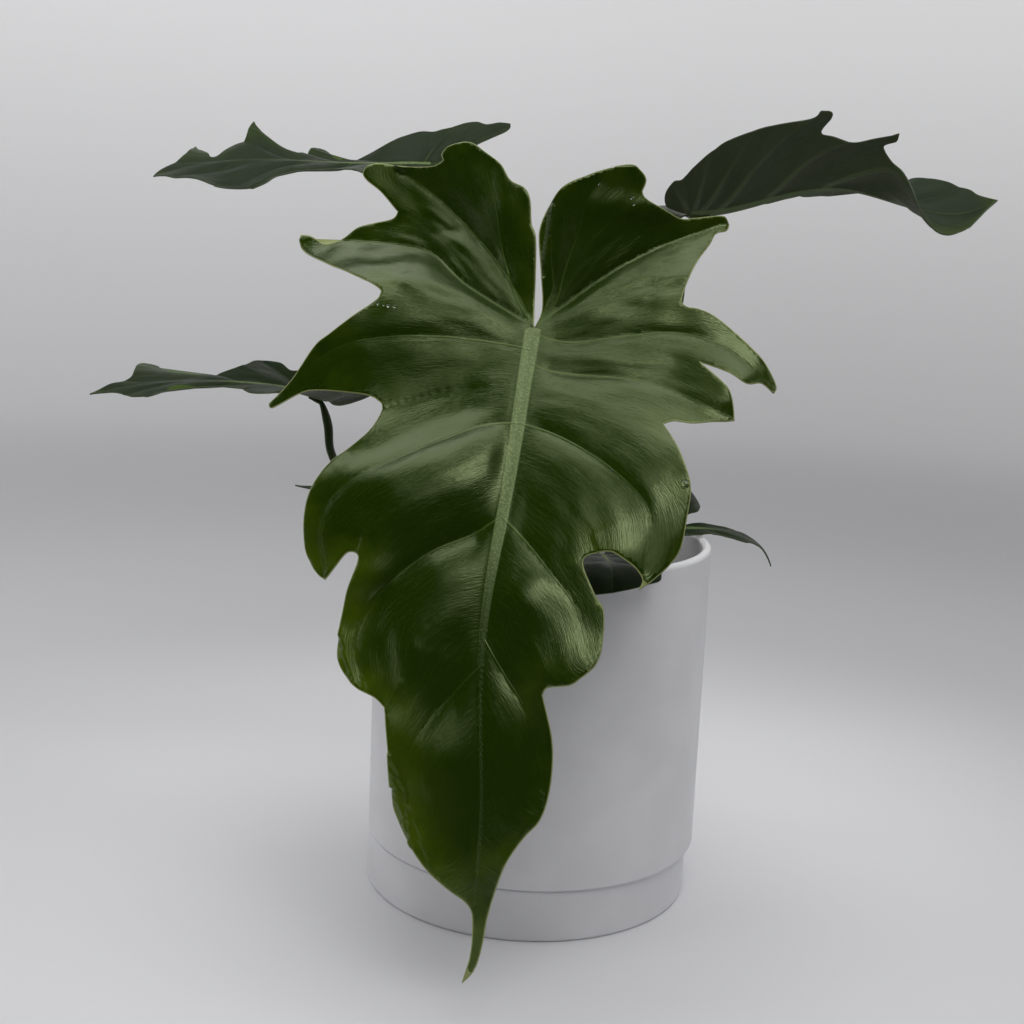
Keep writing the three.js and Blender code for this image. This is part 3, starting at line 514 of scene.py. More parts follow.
class LeafShape:
    """The curved middle surface of one blade, from flat millimetres to millimetres in space."""

    def __init__(self, leaf):
        self.leaf = leaf
        self.before = math.ceil(leaf["ears"]) + 1
        v = np.arange(-self.before, math.ceil(leaf["length"]) + 3, dtype=float)
        t = np.clip(v / leaf["length"], 0, 1)
        settle = 1 - np.exp(np.minimum(v, 0) / EAR_SETTLE)
        heading = np.radians(blend(leaf["heading"], t))
        pitch = np.radians(blend(leaf["pitch"], t) + leaf["ear_lift"] * settle)
        along = np.stack([np.cos(pitch) * np.cos(heading), np.cos(pitch) * np.sin(heading),
                          np.sin(pitch)], -1)
        self.side = np.stack([np.sin(heading), -np.cos(heading), 0 * heading], -1)
        self.up = np.cross(self.side, along)
        steps = (along[1:] + along[:-1]) / 2
        line = np.concatenate([np.zeros((1, 3)), np.cumsum(steps, 0)])
        line += np.array(leaf["joint"], float) - line[self.before]
        self.line = line + blend(leaf["sway"], t)[:, None] * self.side

    def angles(self, name, left, t):
        """Fold or droop at each point, in radians, from the list of its own half."""
        lists = self.leaf[name]
        return np.radians(np.where(left, blend(lists["left"], t), blend(lists["right"], t)))

    def surface(self, u, v):
        place = np.clip(v + self.before, 0, len(self.line) - 1.001)
        k = place.astype(int)
        f = (place - k)[:, None]
        line, side, up = (a[k] * (1 - f) + a[k + 1] * f for a in (self.line, self.side, self.up))
        t = np.clip(v / self.leaf["length"], 0, 1)
        left = u < 0
        reach = np.abs(u)
        fold = self.angles("fold", left, t)
        bend = self.angles("droop", left, t)
        bend = np.where(bend == 0, 1e-6, bend)
        across = (np.sin(fold + bend * reach) - np.sin(fold)) / bend
        lift = (np.cos(fold) - np.cos(fold + bend * reach)) / bend
        wave = self.leaf["wave"]
        if wave:
            phase = np.radians(np.where(left, wave["left"], wave["right"]))
            ripple = np.sin(2 * math.pi * v / wave["length"] + phase)
            lift += wave["height"] * (reach / RIPPLE_REACH) ** RIPPLE_POWER * ripple
        return line + (np.sign(u) * across)[:, None] * side + lift[:, None] * up

    def normal(self, u, v):
        sideways = self.surface(u + 1, v) - self.surface(u - 1, v)
        along = self.surface(u, v + 1) - self.surface(u, v - 1)
        n = np.cross(sideways, along)
        return n / np.linalg.norm(n, axis=1, keepdims=True)


def inside(outline, points):
    """Which points lie inside a closed outline."""
    result = np.zeros(len(points), bool)
    for a, b in zip(outline, np.roll(outline, -1, axis=0)):
        if a[1] != b[1]:
            spans = (a[1] > points[:, 1]) != (b[1] > points[:, 1])
            crossing = a[0] + (b[0] - a[0]) * (points[:, 1] - a[1]) / (b[1] - a[1])
            result ^= spans & (points[:, 0] < crossing)
    return result


def nearest_index(places, points):
    """Index of and distance to the nearest of places, for each point."""
    tree = kdtree.KDTree(len(places))
    for i, (x, y) in enumerate(places):
        tree.insert((x, y, 0), i)
    tree.balance()
    found = [tree.find((x, y, 0)) for x, y in points]
    return np.array([f[1] for f in found]), np.array([f[2] for f in found])


def distance_to_line(line, points):
    """Distance to a line of points, share of its length there, and which side (+1 or -1)."""
    start, step = line[:-1], np.diff(line, axis=0)
    offset = points[:, None, :] - start[None]
    share = np.clip((offset * step).sum(-1) / (step ** 2).sum(-1), 0, 1)
    gap = offset - share[..., None] * step
    distance = np.linalg.norm(gap, axis=-1)
    best = distance.argmin(1)
    rows = np.arange(len(points))
    cross = step[best, 0] * offset[rows, best, 1] - step[best, 1] * offset[rows, best, 0]
    return distance[rows, best], (best + share[rows, best]) / len(step), np.sign(cross)


def margin_distance(outline, points):
    """Distance from each point to a closed outline, whose points lie close together."""
    nearest, _ = nearest_index(outline, points)
    best = np.full(len(points), np.inf)
    for shift in (-1, 0):
        a = outline[(nearest + shift) % len(outline)]
        step = outline[(nearest + shift + 1) % len(outline)] - a
        share = ((points - a) * step).sum(1) / np.maximum((step ** 2).sum(1), 1e-12)
        gap = points - a - np.clip(share, 0, 1)[:, None] * step
        best = np.minimum(best, np.linalg.norm(gap, axis=1))
    return best


def curved_vein(start, u, v):
    """A side vein from its start on the midrib to its end, which leaves the midrib steeply."""
    return [(0, start), (0.45 * u, start + 0.36 * (v - start)),
            (0.8 * u, start + 0.74 * (v - start)), (u, v)]


def vein_lines(leaf, side, spacing):
    """The side veins of one half, in order from the basal lobe to the tip."""
    veins = leaf["veins"][side]
    return [smooth_line(curved_vein(vein[0], *vein[1]) if isinstance(vein, tuple) else vein,
                        spacing) for vein in veins]


def flat_mesh(leaf, outline, veins, spacing):
    """Even triangles inside the outline, with edges along the midrib and every side vein."""
    midrib = smooth_line([(0, 0), (0, leaf["length"])], spacing)
    kept = []
    for line in [midrib] + veins:
        clear = margin_distance(outline, line) > VEIN_CLEARANCE * spacing
        kept.append(line[inside(outline, line) & clear])
    low, high = outline.min(0), outline.max(0)
    rows = np.arange(low[1], high[1], spacing * math.sin(math.radians(60)))
    grid = np.array([(u + (row % 2) * spacing / 2, v) for row, v in enumerate(rows)
                     for u in np.arange(low[0], high[0], spacing)])
    grid = grid[inside(outline, grid)]
    fixed = np.concatenate([outline] + kept)
    grid = grid[nearest_index(fixed, grid)[1] > GRID_CLEARANCE * spacing]
    corners = [Vector(p) for p in np.concatenate([fixed, grid])]
    count = len(outline)
    edges = [(i, (i + 1) % count) for i in range(count)]
    for line in kept:
        edges += [(count + i, count + i + 1) for i in range(len(line) - 1)]
        count += len(line)
    points, _, faces, _, _, _ = delaunay_2d_cdt(corners, edges, [], 1, 1e-5)
    return np.array([tuple(p) for p in points]), np.array(faces)


def vein_field(points, sign, lines, reach, fold_vein, fullness):
    """Where the points of one half of a blade lie among its side veins.

    vein_distance and vein_share are the distance to the nearest vein and the share of its length
    there. vein_count counts the veins and runs smoothly from each to the next. rise is the height
    of the pillow between two veins, from 0 at a vein to 1 at its crest, width its width and gap
    the number of veins between it and the sinus. ear_fold is the distance beyond the vein that
    the basal lobe folds along, and outward the distance from where a side vein through the point
    would leave the midrib.
    """
    measures = [distance_to_line(line, points) for line in lines]
    distances = np.array([m[0] for m in measures])
    shares = np.array([m[1] for m in measures])
    beyond = np.array([m[0] * m[2] * sign for m in measures])
    nearest = distances.argmin(0)
    rows = np.arange(len(points))
    passed = (beyond > 0).sum(0)
    before = np.clip(passed - 1, 0, len(lines) - 1)
    after = np.clip(passed, 0, len(lines) - 1)
    gap_before, gap_after = distances[before, rows], distances[after, rows]
    width = np.maximum(gap_before + gap_after, 1e-6)
    first, last = passed == 0, passed == len(lines)
    count = np.where(first, -gap_after / reach, before + gap_before / width)
    count = np.where(last, len(lines) - 1 + gap_before / reach, count)
    outer = np.minimum(distances[nearest, rows] / reach, 0.5)
    across = gap_before / width
    shift = np.where(np.array(fullness)[passed] < 0, DIP_SHIFT, CREST_SHIFT)
    across = across + shift * across * (1 - across)
    starts = [line[0][1] for line in lines]
    start = np.interp(count, np.arange(len(lines)), starts)
    return {
        "vein_distance": distances[nearest, rows],
        "vein_share": shares[nearest, rows],
        "vein_count": count,
        "rise": np.sin(math.pi * np.where(first | last, outer, across)),
        "width": np.where(first | last, reach, width),
        "gap": passed,
        "ear_fold": np.where(passed <= fold_vein, distances[fold_vein], 0),
        "outward": np.hypot(points[:, 0], points[:, 1] - start),
    }


def wrinkles(points, size, seed):
    """Soft noise from -1 to 1 over flat points, with bumps of about the given size."""
    return np.array([noise.noise(Vector((u / size, v / size, seed))) for u, v in points])


def half_fields(leaf, side, points, spacing, scale):
    """The vein field of one half of a blade, with the fold of its lobe and its fullness."""
    lines = vein_lines(leaf, side, spacing * 3)
    fold_vein, lean = leaf["ear_fold"][side]
    fullness = leaf["fullness"].get(side, [1] * (len(lines) + 1))
    sign = -1 if side == "left" else 1
    found = vein_field(points, sign, lines, FULL_PILLOW * scale, fold_vein, fullness)
    found["ear_fold"] = found["ear_fold"] * lean
    found["fullness"] = np.array(fullness)[found["gap"]]
    at_veins = np.maximum(np.convolve(fullness, [0.5, 0.5], "valid"), LEAST_SUNK)
    found["sunk"] = np.interp(found["vein_count"], np.arange(len(lines)), at_veins)
    return found


def blade_fields(leaf, points, outline, spacing):
    """Everything about the blade's relief and markings, at each flat point."""
    scale = (leaf["length"] / FULL_LENGTH) ** RELIEF_POWER
    left = points[:, 0] < 0
    fields = {}
    for side, mask in (("left", left), ("right", ~left)):
        for name, values in half_fields(leaf, side, points[mask], spacing, scale).items():
            fields.setdefault(name, np.zeros(len(points)))[mask] = values
    fields["margin_distance"] = margin_distance(outline, points)
    fields["forward"] = fields["ear_fold"].copy()
    for puff_u, puff_v, rise, across, along in leaf["puffs"]:
        spread = ((points[:, 0] - puff_u) / across) ** 2 + ((points[:, 1] - puff_v) / along) ** 2
        fields["forward"] += rise * np.exp(-spread)
    t = np.clip(points[:, 1] / leaf["length"], 0, 1)
    fields["midrib_half"] = blend(MIDRIB_HALF_WIDTH, t) * scale
    fields["scale"] = scale
    return fields


def blade_wrinkles(v, fields, calm, settings, seed):
    """Soft wrinkles between the side veins, livelier on the upper part outside the folds."""
    scale = fields["scale"]
    drawn_out = np.stack([fields["outward"] / WRINKLE_STRETCH,
                          fields["vein_count"] * VEIN_SPREAD * scale], -1)
    height = sum(share * wrinkles(drawn_out, size * scale, seed + shift)
                 for size, share, shift in WRINKLE_OCTAVES)
    upper = smoothstep(LIVELY_SPAN[0] * scale, LIVELY_SPAN[1] * scale, v)
    livelier = 1 + LIVELIER * upper * (fields["ear_fold"] == 0)
    at_margin = WRINKLES_AT_MARGIN + (1 - WRINKLES_AT_MARGIN) * calm
    return height * settings.pucker / MM * scale * at_margin * livelier


def blade_relief(leaf, points, fields, settings, seed):
    """Height of the blade above its smooth surface, and its thickness, in millimetres."""
    scale = fields["scale"]
    depth = settings.vein_depth / MM * scale
    u, v = points[:, 0], points[:, 1]
    start = smoothstep(-1, JOINT_CALM * scale, np.hypot(u, np.minimum(v, 0)))
    away = smoothstep(MIDRIB_CALM[0] * scale, MIDRIB_CALM[1] * scale, np.abs(u))
    calm = smoothstep(0, MARGIN_CALM * scale, fields["margin_distance"])
    fade = (1 - VEIN_FADE * fields["vein_share"] ** VEIN_FADE_POWER) * start
    roomy = np.minimum(fields["width"] / (FULL_PILLOW * scale), WIDEST_PILLOW)
    fullness = np.where(fields["fullness"] < 0, fields["fullness"] * away, fields["fullness"])
    pillow = depth * fade * (fullness * roomy * fields["rise"] - fields["sunk"])
    crease = np.exp(-fields["vein_distance"] / (CREASE_WIDTH * scale))
    crease *= settings.crease / MM * scale * fade
    valley = np.exp(-(np.abs(u) / (VALLEY_WIDTH * scale)) ** VALLEY_POWER)
    valley *= smoothstep(VALLEY_START * scale, 0, v)
    height = (pillow - crease) * (1 - valley) - MIDRIB_SHARE * depth * valley
    by_midrib = WRINKLES_AT_MIDRIB + (1 - WRINKLES_AT_MIDRIB) * away
    height += blade_wrinkles(v, fields, calm, settings, seed) * start * by_midrib
    ripple = wrinkles(points, MARGIN_RIPPLE_SIZE * scale, seed + 3)
    height += ripple * (1 - calm) * MARGIN_RIPPLE * scale
    ridge = np.clip(1 - (u / fields["midrib_half"]) ** 2, 0, 1) * (v > -1)
    ridge *= 1 - smoothstep(*RIDGE_END, v / leaf["length"])
    height += RIDGE_HEIGHT * scale * np.sqrt(ridge)
    under = np.exp(-(u / (UNDER_MIDRIB_WIDTH * fields["midrib_half"])) ** 2)
    under *= smoothstep(-2, 1, v)
    ribs = np.exp(-(fields["vein_distance"] / (RIB_WIDTH * scale)) ** 2) * fade
    thickness = settings.thickness / MM + UNDER_MIDRIB * fields["midrib_half"] * under
    return height, thickness + RIB_HEIGHT * scale * ribs


def facing_up(points, faces):
    """The faces of a flat mesh without its slivers, all the same way round."""
    corner = points[faces]
    ab, ac = corner[:, 1] - corner[:, 0], corner[:, 2] - corner[:, 0]
    turn = ab[:, 0] * ac[:, 1] - ab[:, 1] * ac[:, 0]
    whole = np.abs(turn) > LEAST_TURN
    faces, flipped = faces[whole], turn[whole] < 0
    faces[flipped] = faces[flipped][:, ::-1]
    return faces


def edge_loop(faces):
    """The points round the border of a flat mesh, in the order of its faces."""
    edges = {edge: True for a, b, c in faces for edge in ((a, b), (b, c), (c, a))}
    step = {start: end for start, end in edges if (end, start) not in edges}
    first = next(iter(step))
    loop = [first]
    while step[loop[-1]] != first:
        loop.append(step[loop[-1]])
    return np.array(loop)


def just_outside(points, loop, distance):
    """Flat points a little way out from the border of a flat mesh, as sideways and along."""
    along = points[np.roll(loop, -3)] - points[np.roll(loop, 3)]
    outward = np.stack([along[:, 1], -along[:, 0]], -1)
    outward /= np.linalg.norm(outward, axis=1, keepdims=True)
    return (points[loop] + outward * distance).T


def mesh_object(name, points, faces, materials=(), material_index=None, smooth=True):
    """A new mesh object from arrays of points in metres and lists of corner numbers."""
    mesh = bpy.data.meshes.new(name)
    mesh.from_pydata([tuple(p) for p in points], [], [tuple(int(i) for i in f) for f in faces])
    for material in materials:
        mesh.materials.append(material)
    if material_index is not None:
        mesh.polygons.foreach_set("material_index", np.asarray(material_index, np.int32))
    mesh.polygons.foreach_set("use_smooth", [smooth] * len(mesh.polygons))
    mesh.update()
    made = bpy.data.objects.new(name, mesh)
    bpy.context.scene.collection.objects.link(made)
    return made


def add_attribute(made, name, values):
    attribute = made.data.attributes.new(name, "FLOAT", "POINT")
    attribute.data.foreach_set("value", np.asarray(values, np.float32))


def add_flat_map(made, name, coordinates):
    """A UV map with one flat coordinate for each point of the mesh."""
    layer = made.data.uv_layers.new(name=name)
    corners = np.zeros(len(made.data.loops), np.int32)
    made.data.loops.foreach_get("vertex_index", corners)
    layer.data.foreach_set("uv", np.asarray(coordinates, np.float32)[corners].ravel())


def blade_outline(leaf, settings):
    """The outline as closely spaced flat points, and the spacing of the blade's mesh."""
    spacing = settings.spacing / MM * (leaf["length"] / FULL_LENGTH) ** MESH_POWER
    runs = leaf["outline"]
    lines = [smooth_line([before[-1], *run], spacing * OUTLINE_SPACING)[:-1]
             for before, run in zip([runs[-1], *runs], runs)]
    return np.concatenate(lines), spacing


def add_blade_fields(made, leaf, points, loop, fields):
    """The attributes and flat maps that the blade's materials read, for its three skins."""

    def for_all_skins(values, rim=1):
        return np.concatenate([values, values, rim * values[loop]])

    for name in ("vein_distance", "margin_distance"):
        add_attribute(made, name, for_all_skins(fields[name] * MM / fields["scale"], rim=0))
    add_attribute(made, "vein_share", for_all_skins(fields["vein_share"], rim=0))
    u, v = points[:, 0], points[:, 1]
    add_attribute(made, "sideways", for_all_skins(u * MM))
    add_attribute(made, "along_leaf", for_all_skins(v / leaf["length"]))
    behind_joint = np.where(v < 0, 3 * -v / fields["midrib_half"], 0)
    rib = np.abs(u) / fields["midrib_half"] + behind_joint
    add_attribute(made, "midrib_distance", for_all_skins(rib))
    add_flat_map(made, "flat", for_all_skins(points * MAP_SCALE))
    flow = np.stack([fields["outward"] * MAP_SCALE, fields["vein_count"]], -1)
    add_flat_map(made, "flow", for_all_skins(flow))


def build_blade(name, leaf, settings, materials, seed):
    """One blade: upper and lower face with the same triangles, and a rounded margin."""
    shape = LeafShape(leaf)
    outline, spacing = blade_outline(leaf, settings)
    veins = [line for side in ("left", "right") for line in vein_lines(leaf, side, spacing)]
    points, faces = flat_mesh(leaf, outline, veins, spacing)
    faces = facing_up(points, faces)
    fields = blade_fields(leaf, points, outline, spacing)
    height, thickness = blade_relief(leaf, points, fields, settings, seed)
    u, v = points[:, 0], points[:, 1]
    normal = shape.normal(u, v)
    forward = fields["forward"][:, None] * FRONT
    middle = shape.surface(u, v) + normal * height[:, None] + forward
    top_skin = settings.thickness / MM / 2
    top = middle + normal * top_skin
    bottom = middle - normal * (thickness - top_skin)[:, None]
    loop = edge_loop(faces)
    out_u, out_v = just_outside(points, loop, 0.3 * settings.thickness / MM)
    brow = shape.surface(out_u, out_v) + shape.normal(out_u, out_v) * height[loop][:, None]
    vertices = np.concatenate([top, bottom, brow + forward[loop]]) * MM
    count = len(points)
    after = np.roll(np.arange(len(loop)), -1)
    ring = 2 * count + np.arange(len(loop))
    upper_rim = np.stack([loop, ring, ring[after], loop[after]], -1)
    lower_rim = np.stack([ring, loop + count, loop[after] + count, ring[after]], -1)
    every = [*faces, *(faces[:, ::-1] + count), *upper_rim, *lower_rim]
    index = [0] * len(faces) + [1] * len(faces) + [2] * (2 * len(loop))
    made = mesh_object(name, vertices, every, materials, index)
    add_blade_fields(made, leaf, points, loop, fields)
    return made


def circle(radius, height, steps):
    """Points of a level circle round the Z axis."""
    angles = np.arange(steps) * 2 * math.pi / steps
    return np.stack([radius * np.cos(angles), radius * np.sin(angles), np.full(steps, height)], -1)


def ring_faces(rings, steps, first=1, start=None, end=None, climbing=True):
    """Faces between rings of points that follow each other from point number first.

    The point start closes the first ring and the point end the last one. Rings that are climbing
    go up round an axis and their faces look away from it. Others spread out and look up.
    """
    faces = []
    for j in range(steps):
        after = (j + 1) % steps
        if start is not None:
            faces.append((start, first + after, first + j))
        for low in range(first, first + (rings - 1) * steps, steps):
            high = low + steps
            faces.append((low + j, low + after, high + after, high + j))
        if end is not None:
            top = first + (rings - 1) * steps
            faces.append((end, top + j, top + after))
    return faces if climbing else [(face[0], *face[:0:-1]) for face in faces]


def dome(radius, rings, steps):
    """A shallow water drop on the flat: its points, and faces that close it below as well."""
    crown, bulge, sunk = 0.55 * radius, 0.65 * radius, 0.1 * radius
    angles = np.linspace(0, math.pi / 2, rings + 1)[1:]
    levels = [circle(radius * math.sin(a), bulge * math.cos(a) - sunk, steps) for a in angles]
    points = np.concatenate([[(0, 0, crown)], *levels, [(0, 0, -sunk)]])
    return points, ring_faces(rings, steps, start=0, end=len(points) - 1, climbing=False)


def build_drops(leaf, settings, seed):
    """The few water drops that lie on a blade, as one piece."""
    shape = LeafShape(leaf)
    outline, spacing = blade_outline(leaf, settings)
    places = np.array(leaf["drops"])[:, :2].astype(float)
    fields = blade_fields(leaf, places, outline, spacing)
    height, _ = blade_relief(leaf, places, fields, settings, seed)
    normal = shape.normal(places[:, 0], places[:, 1])
    middle = shape.surface(places[:, 0], places[:, 1]) + fields["forward"][:, None] * FRONT
    middle += normal * (height + settings.thickness / MM / 2)[:, None]
    vertices, faces = [], []
    for centre, up, (_, _, radius) in zip(middle, normal, leaf["drops"]):
        turn = np.array(Vector(up).to_track_quat("Z", "Y").to_matrix())
        points, facets = dome(radius, rings=6, steps=24)
        start = sum(len(v) for v in vertices)
        vertices.append(points @ turn.T + centre)
        faces += [tuple(start + i for i in facet) for facet in facets]
    drops = mesh_object("water_drops", np.concatenate(vertices) * MM, faces, [water_material()])
    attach(drops, BODY)


def new_material(name):
    """An empty node material with its Principled shader and output in place."""
    material = bpy.data.materials.new(name)
    material.use_nodes = True
    tree = material.node_tree
    tree.nodes.clear()
    output = tree.nodes.new("ShaderNodeOutputMaterial")
    shader = tree.nodes.new("ShaderNodeBsdfPrincipled")
    tree.links.new(shader.outputs["BSDF"], output.inputs["Surface"])
    return material, tree, shader


def feed(tree, socket, value):
    """Links a socket to another node's output, or sets it to a value."""
    if isinstance(value, bpy.types.NodeSocket):
        tree.links.new(value, socket)
    else:
        socket.default_value = value


def node(tree, kind, inputs=(), **options):
    """Adds a shader node, sets its options, and sets or links its inputs."""
    made = tree.nodes.new(kind)
    for key, value in options.items():
        setattr(made, key, value)
    for key, value in dict(inputs).items():
        feed(tree, made.inputs[key], value)
    return made


def mix_colour(tree, factor, first, second):
    """Mix of two colours, whose sockets on the node are told apart by number."""
    made = node(tree, "ShaderNodeMix", data_type="RGBA")
    for number, value in ((0, factor), (6, first), (7, second)):
        feed(tree, made.inputs[number], value)
    return made.outputs[2]


def maths(tree, operation, *values):
    made = node(tree, "ShaderNodeMath", operation=operation)
    for socket, value in zip(made.inputs, values):
        feed(tree, socket, value)
    return made.outputs[0]


def product(tree, *values):
    """Product of two or more values."""
    result = values[0]
    for value in values[1:]:
        result = maths(tree, "MULTIPLY", result, value)
    return result


def total(tree, *values):
    """Sum of two or more values."""
    result = values[0]
    for value in values[1:]:
        result = maths(tree, "ADD", result, value)
    return result


def ramp(tree, value, low, high, to_low=0.0, to_high=1.0):
    """Smooth step of a value from one range to another."""
    made = node(tree, "ShaderNodeMapRange", {"Value": value, "From Min": low, "From Max": high,
                                             "To Min": to_low, "To Max": to_high})
    made.interpolation_type = "SMOOTHSTEP"
    return made.outputs["Result"]


def solid(colour, share=1.0):
    """A colour as the four numbers that a socket takes, scaled to a share of its brightness."""
    return (*(c * share for c in colour), 1.0)


def attribute(tree, name):
    return node(tree, "ShaderNodeAttribute", attribute_name=name).outputs["Fac"]


def object_place(tree):
    return node(tree, "ShaderNodeTexCoord").outputs["Object"]


def flat_place(tree, uv_map):
    return node(tree, "ShaderNodeUVMap", uv_map=uv_map).outputs["UV"]


def cloud(tree, place, scale, detail=2.0, roughness=0.5):
    """Cloudy noise from 0 to 1."""
    inputs = {"Vector": place, "Scale": scale, "Detail": detail, "Roughness": roughness}
    return node(tree, "ShaderNodeTexNoise", inputs).outputs["Fac"]


def cells(tree, place, scale):
    """Outputs of a pattern of cells: Distance from each one's middle, and a Color of its own."""
    return node(tree, "ShaderNodeTexVoronoi", {"Vector": place, "Scale": scale}).outputs


def drawn_out(tree, place, by_x, by_y):
    """A flat place, stretched by a factor each way."""
    parts = node(tree, "ShaderNodeSeparateXYZ", {"Vector": place}).outputs
    x, y = product(tree, parts["X"], by_x), product(tree, parts["Y"], by_y)
    return node(tree, "ShaderNodeCombineXYZ", {"X": x, "Y": y}).outputs["Vector"]


def bump(tree, height, strength, distance, below=None):
    inputs = {"Height": height, "Strength": strength, "Distance": distance}
    if below is not None:
        inputs["Normal"] = below
    return node(tree, "ShaderNodeBump", inputs).outputs["Normal"]


def coat(tree, shader, colour, roughness, normal=None, specular=0.5):
    """Gives a material its colour, roughness and relief, and how strongly it mirrors."""
    tree.links.new(colour, shader.inputs["Base Color"])
    feed(tree, shader.inputs["Roughness"], roughness)
    if normal is not None:
        tree.links.new(normal, shader.inputs["Normal"])
    shader.inputs["Specular IOR Level"].default_value = specular


def new_group(name, inputs, outputs):
    """A shader node group with float inputs and outputs."""
    group = bpy.data.node_groups.new(name, "ShaderNodeTree")
    for label, default in inputs.items():
        socket = group.interface.new_socket(label, in_out="INPUT", socket_type="NodeSocketFloat")
        socket.default_value = default
    for label in outputs:
        group.interface.new_socket(label, in_out="OUTPUT", socket_type="NodeSocketFloat")
    start = group.nodes.new("NodeGroupInput")
    end = group.nodes.new("NodeGroupOutput")
    return group, start.outputs, end.inputs


def group_node(tree, group, **values):
    made = tree.nodes.new("ShaderNodeGroup")
    made.node_tree = group
    for label, value in values.items():
        made.inputs[label.replace("_", " ")].default_value = value
    return made.outputs


def leaf_markings_group():
    """Masks of the midrib, the side veins and the pale edge, from the blade's own distances."""
    group, given, wanted = new_group("Leaf markings",
                                     {"Vein width": 0.0006, "Edge width": 0.0005},
                                     ("Midrib", "Vein", "Edge"))
    share = attribute(group, "vein_share")
    taper = ramp(group, share, 0, 1, 1.0, 0.35)
    width = product(group, given["Vein width"], taper)
    from_vein = maths(group, "DIVIDE", attribute(group, "vein_distance"), width)
    fading = ramp(group, share, 0.1, 0.85, 1.0, 0.25)
    from_edge = maths(group, "DIVIDE", attribute(group, "margin_distance"), given["Edge width"])
    masks = {
        "Midrib": ramp(group, attribute(group, "midrib_distance"), 0.85, 1.12, 1, 0),
        "Vein": product(group, ramp(group, from_vein, 0.35, 1.15, 1, 0), fading),
        "Edge": ramp(group, from_edge, 0.5, 1.0, 1, 0),
    }
    for label, mask in masks.items():
        group.links.new(mask, wanted[label])
    return group


def leaf_tissue_group():
    """Streaks that run with the side veins, broad blotches and fine cells, each from 0 to 1."""
    group, given, wanted = new_group("Leaf tissue", {"Streaks": 38.0, "Cells": 900.0},
                                     ("Streak", "Fine", "Blotch", "Cell"))
    along_veins, finer = 14.0, (2.6, 2.6, 1.0)
    streaks = drawn_out(group, flat_place(group, "flow"), along_veins, given["Streaks"])
    fine = node(group, "ShaderNodeVectorMath", {0: streaks, 1: finer},
                operation="MULTIPLY").outputs["Vector"]
    patterns = {
        "Streak": cloud(group, streaks, 1.0, 4.0, 0.62),
        "Fine": cloud(group, fine, 1.0),
        "Blotch": cloud(group, flat_place(group, "flat"), 4.5, 3.0, 0.55),
        "Cell": cells(group, object_place(group), given["Cells"])["Distance"],
    }
    for label, pattern in patterns.items():
        group.links.new(pattern, wanted[label])
    return group


def yellowness_and_painted_light(tree, grain, along, sideways, near_edge):
    """How yellow the upper face is: by its margin, in streaks, at its tip, and by painted light and
    shade on its lower part.

    along is the share of the leaf's length, and sideways the distance from the midrib in metres.
    """
    # Painted shade: on the lower part, the margin of the left half stays greener
    painted_shade_side = product(tree, ramp(tree, sideways, -0.02, 0.0, 0.7, 0.0),
                          ramp(tree, along, 0.5, 0.65))
    # Painted light: on the lower part, the right half is painted yellower
    painted_light_side = product(tree, ramp(tree, along, 0.55, 0.78, 0.0, 0.42),
                       ramp(tree, sideways, 0.003, 0.026))
    # Partly margin yellowing, partly painted light: only the right half's margin turns yellower on
    # the lower part
    margin_and_painted_light = product(tree, ramp(tree, along, 0.35, 0.5, 0.0, 0.4),
                           ramp(tree, sideways, 0.0, 0.03), near_edge)
    margin = product(tree, near_edge, ramp(tree, grain["Blotch"], 0.38, 0.68),
                     ramp(tree, along, 0.15, 0.5, 0.3, 0.7),
                     maths(tree, "SUBTRACT", 1.0, painted_shade_side))
    streaks = ramp(tree, grain["Streak"], 0.45, 0.8, 0, 0.10)
    tip = ramp(tree, along, 0.92, 1.0, 0.0, 0.6)
    return total(tree, margin, streaks, tip, margin_and_painted_light, painted_light_side)


# The large leaf is glossier and yellower than the others, with more painted light and shade, and its
# midrib fades out near the tip
GLOSSY = {"roughness": 0.20, "specular": 0.7, "tint": (0.84, 1.0, 0.52), "yellowing_and_painted_light": 1.0,
          "far_midrib": 0.0}
DULLER = {"roughness": 0.40, "specular": 0.08, "tint": (0.85, 1.0, 0.9), "yellowing_and_painted_light": 0.3,
          "far_midrib": 0.3}


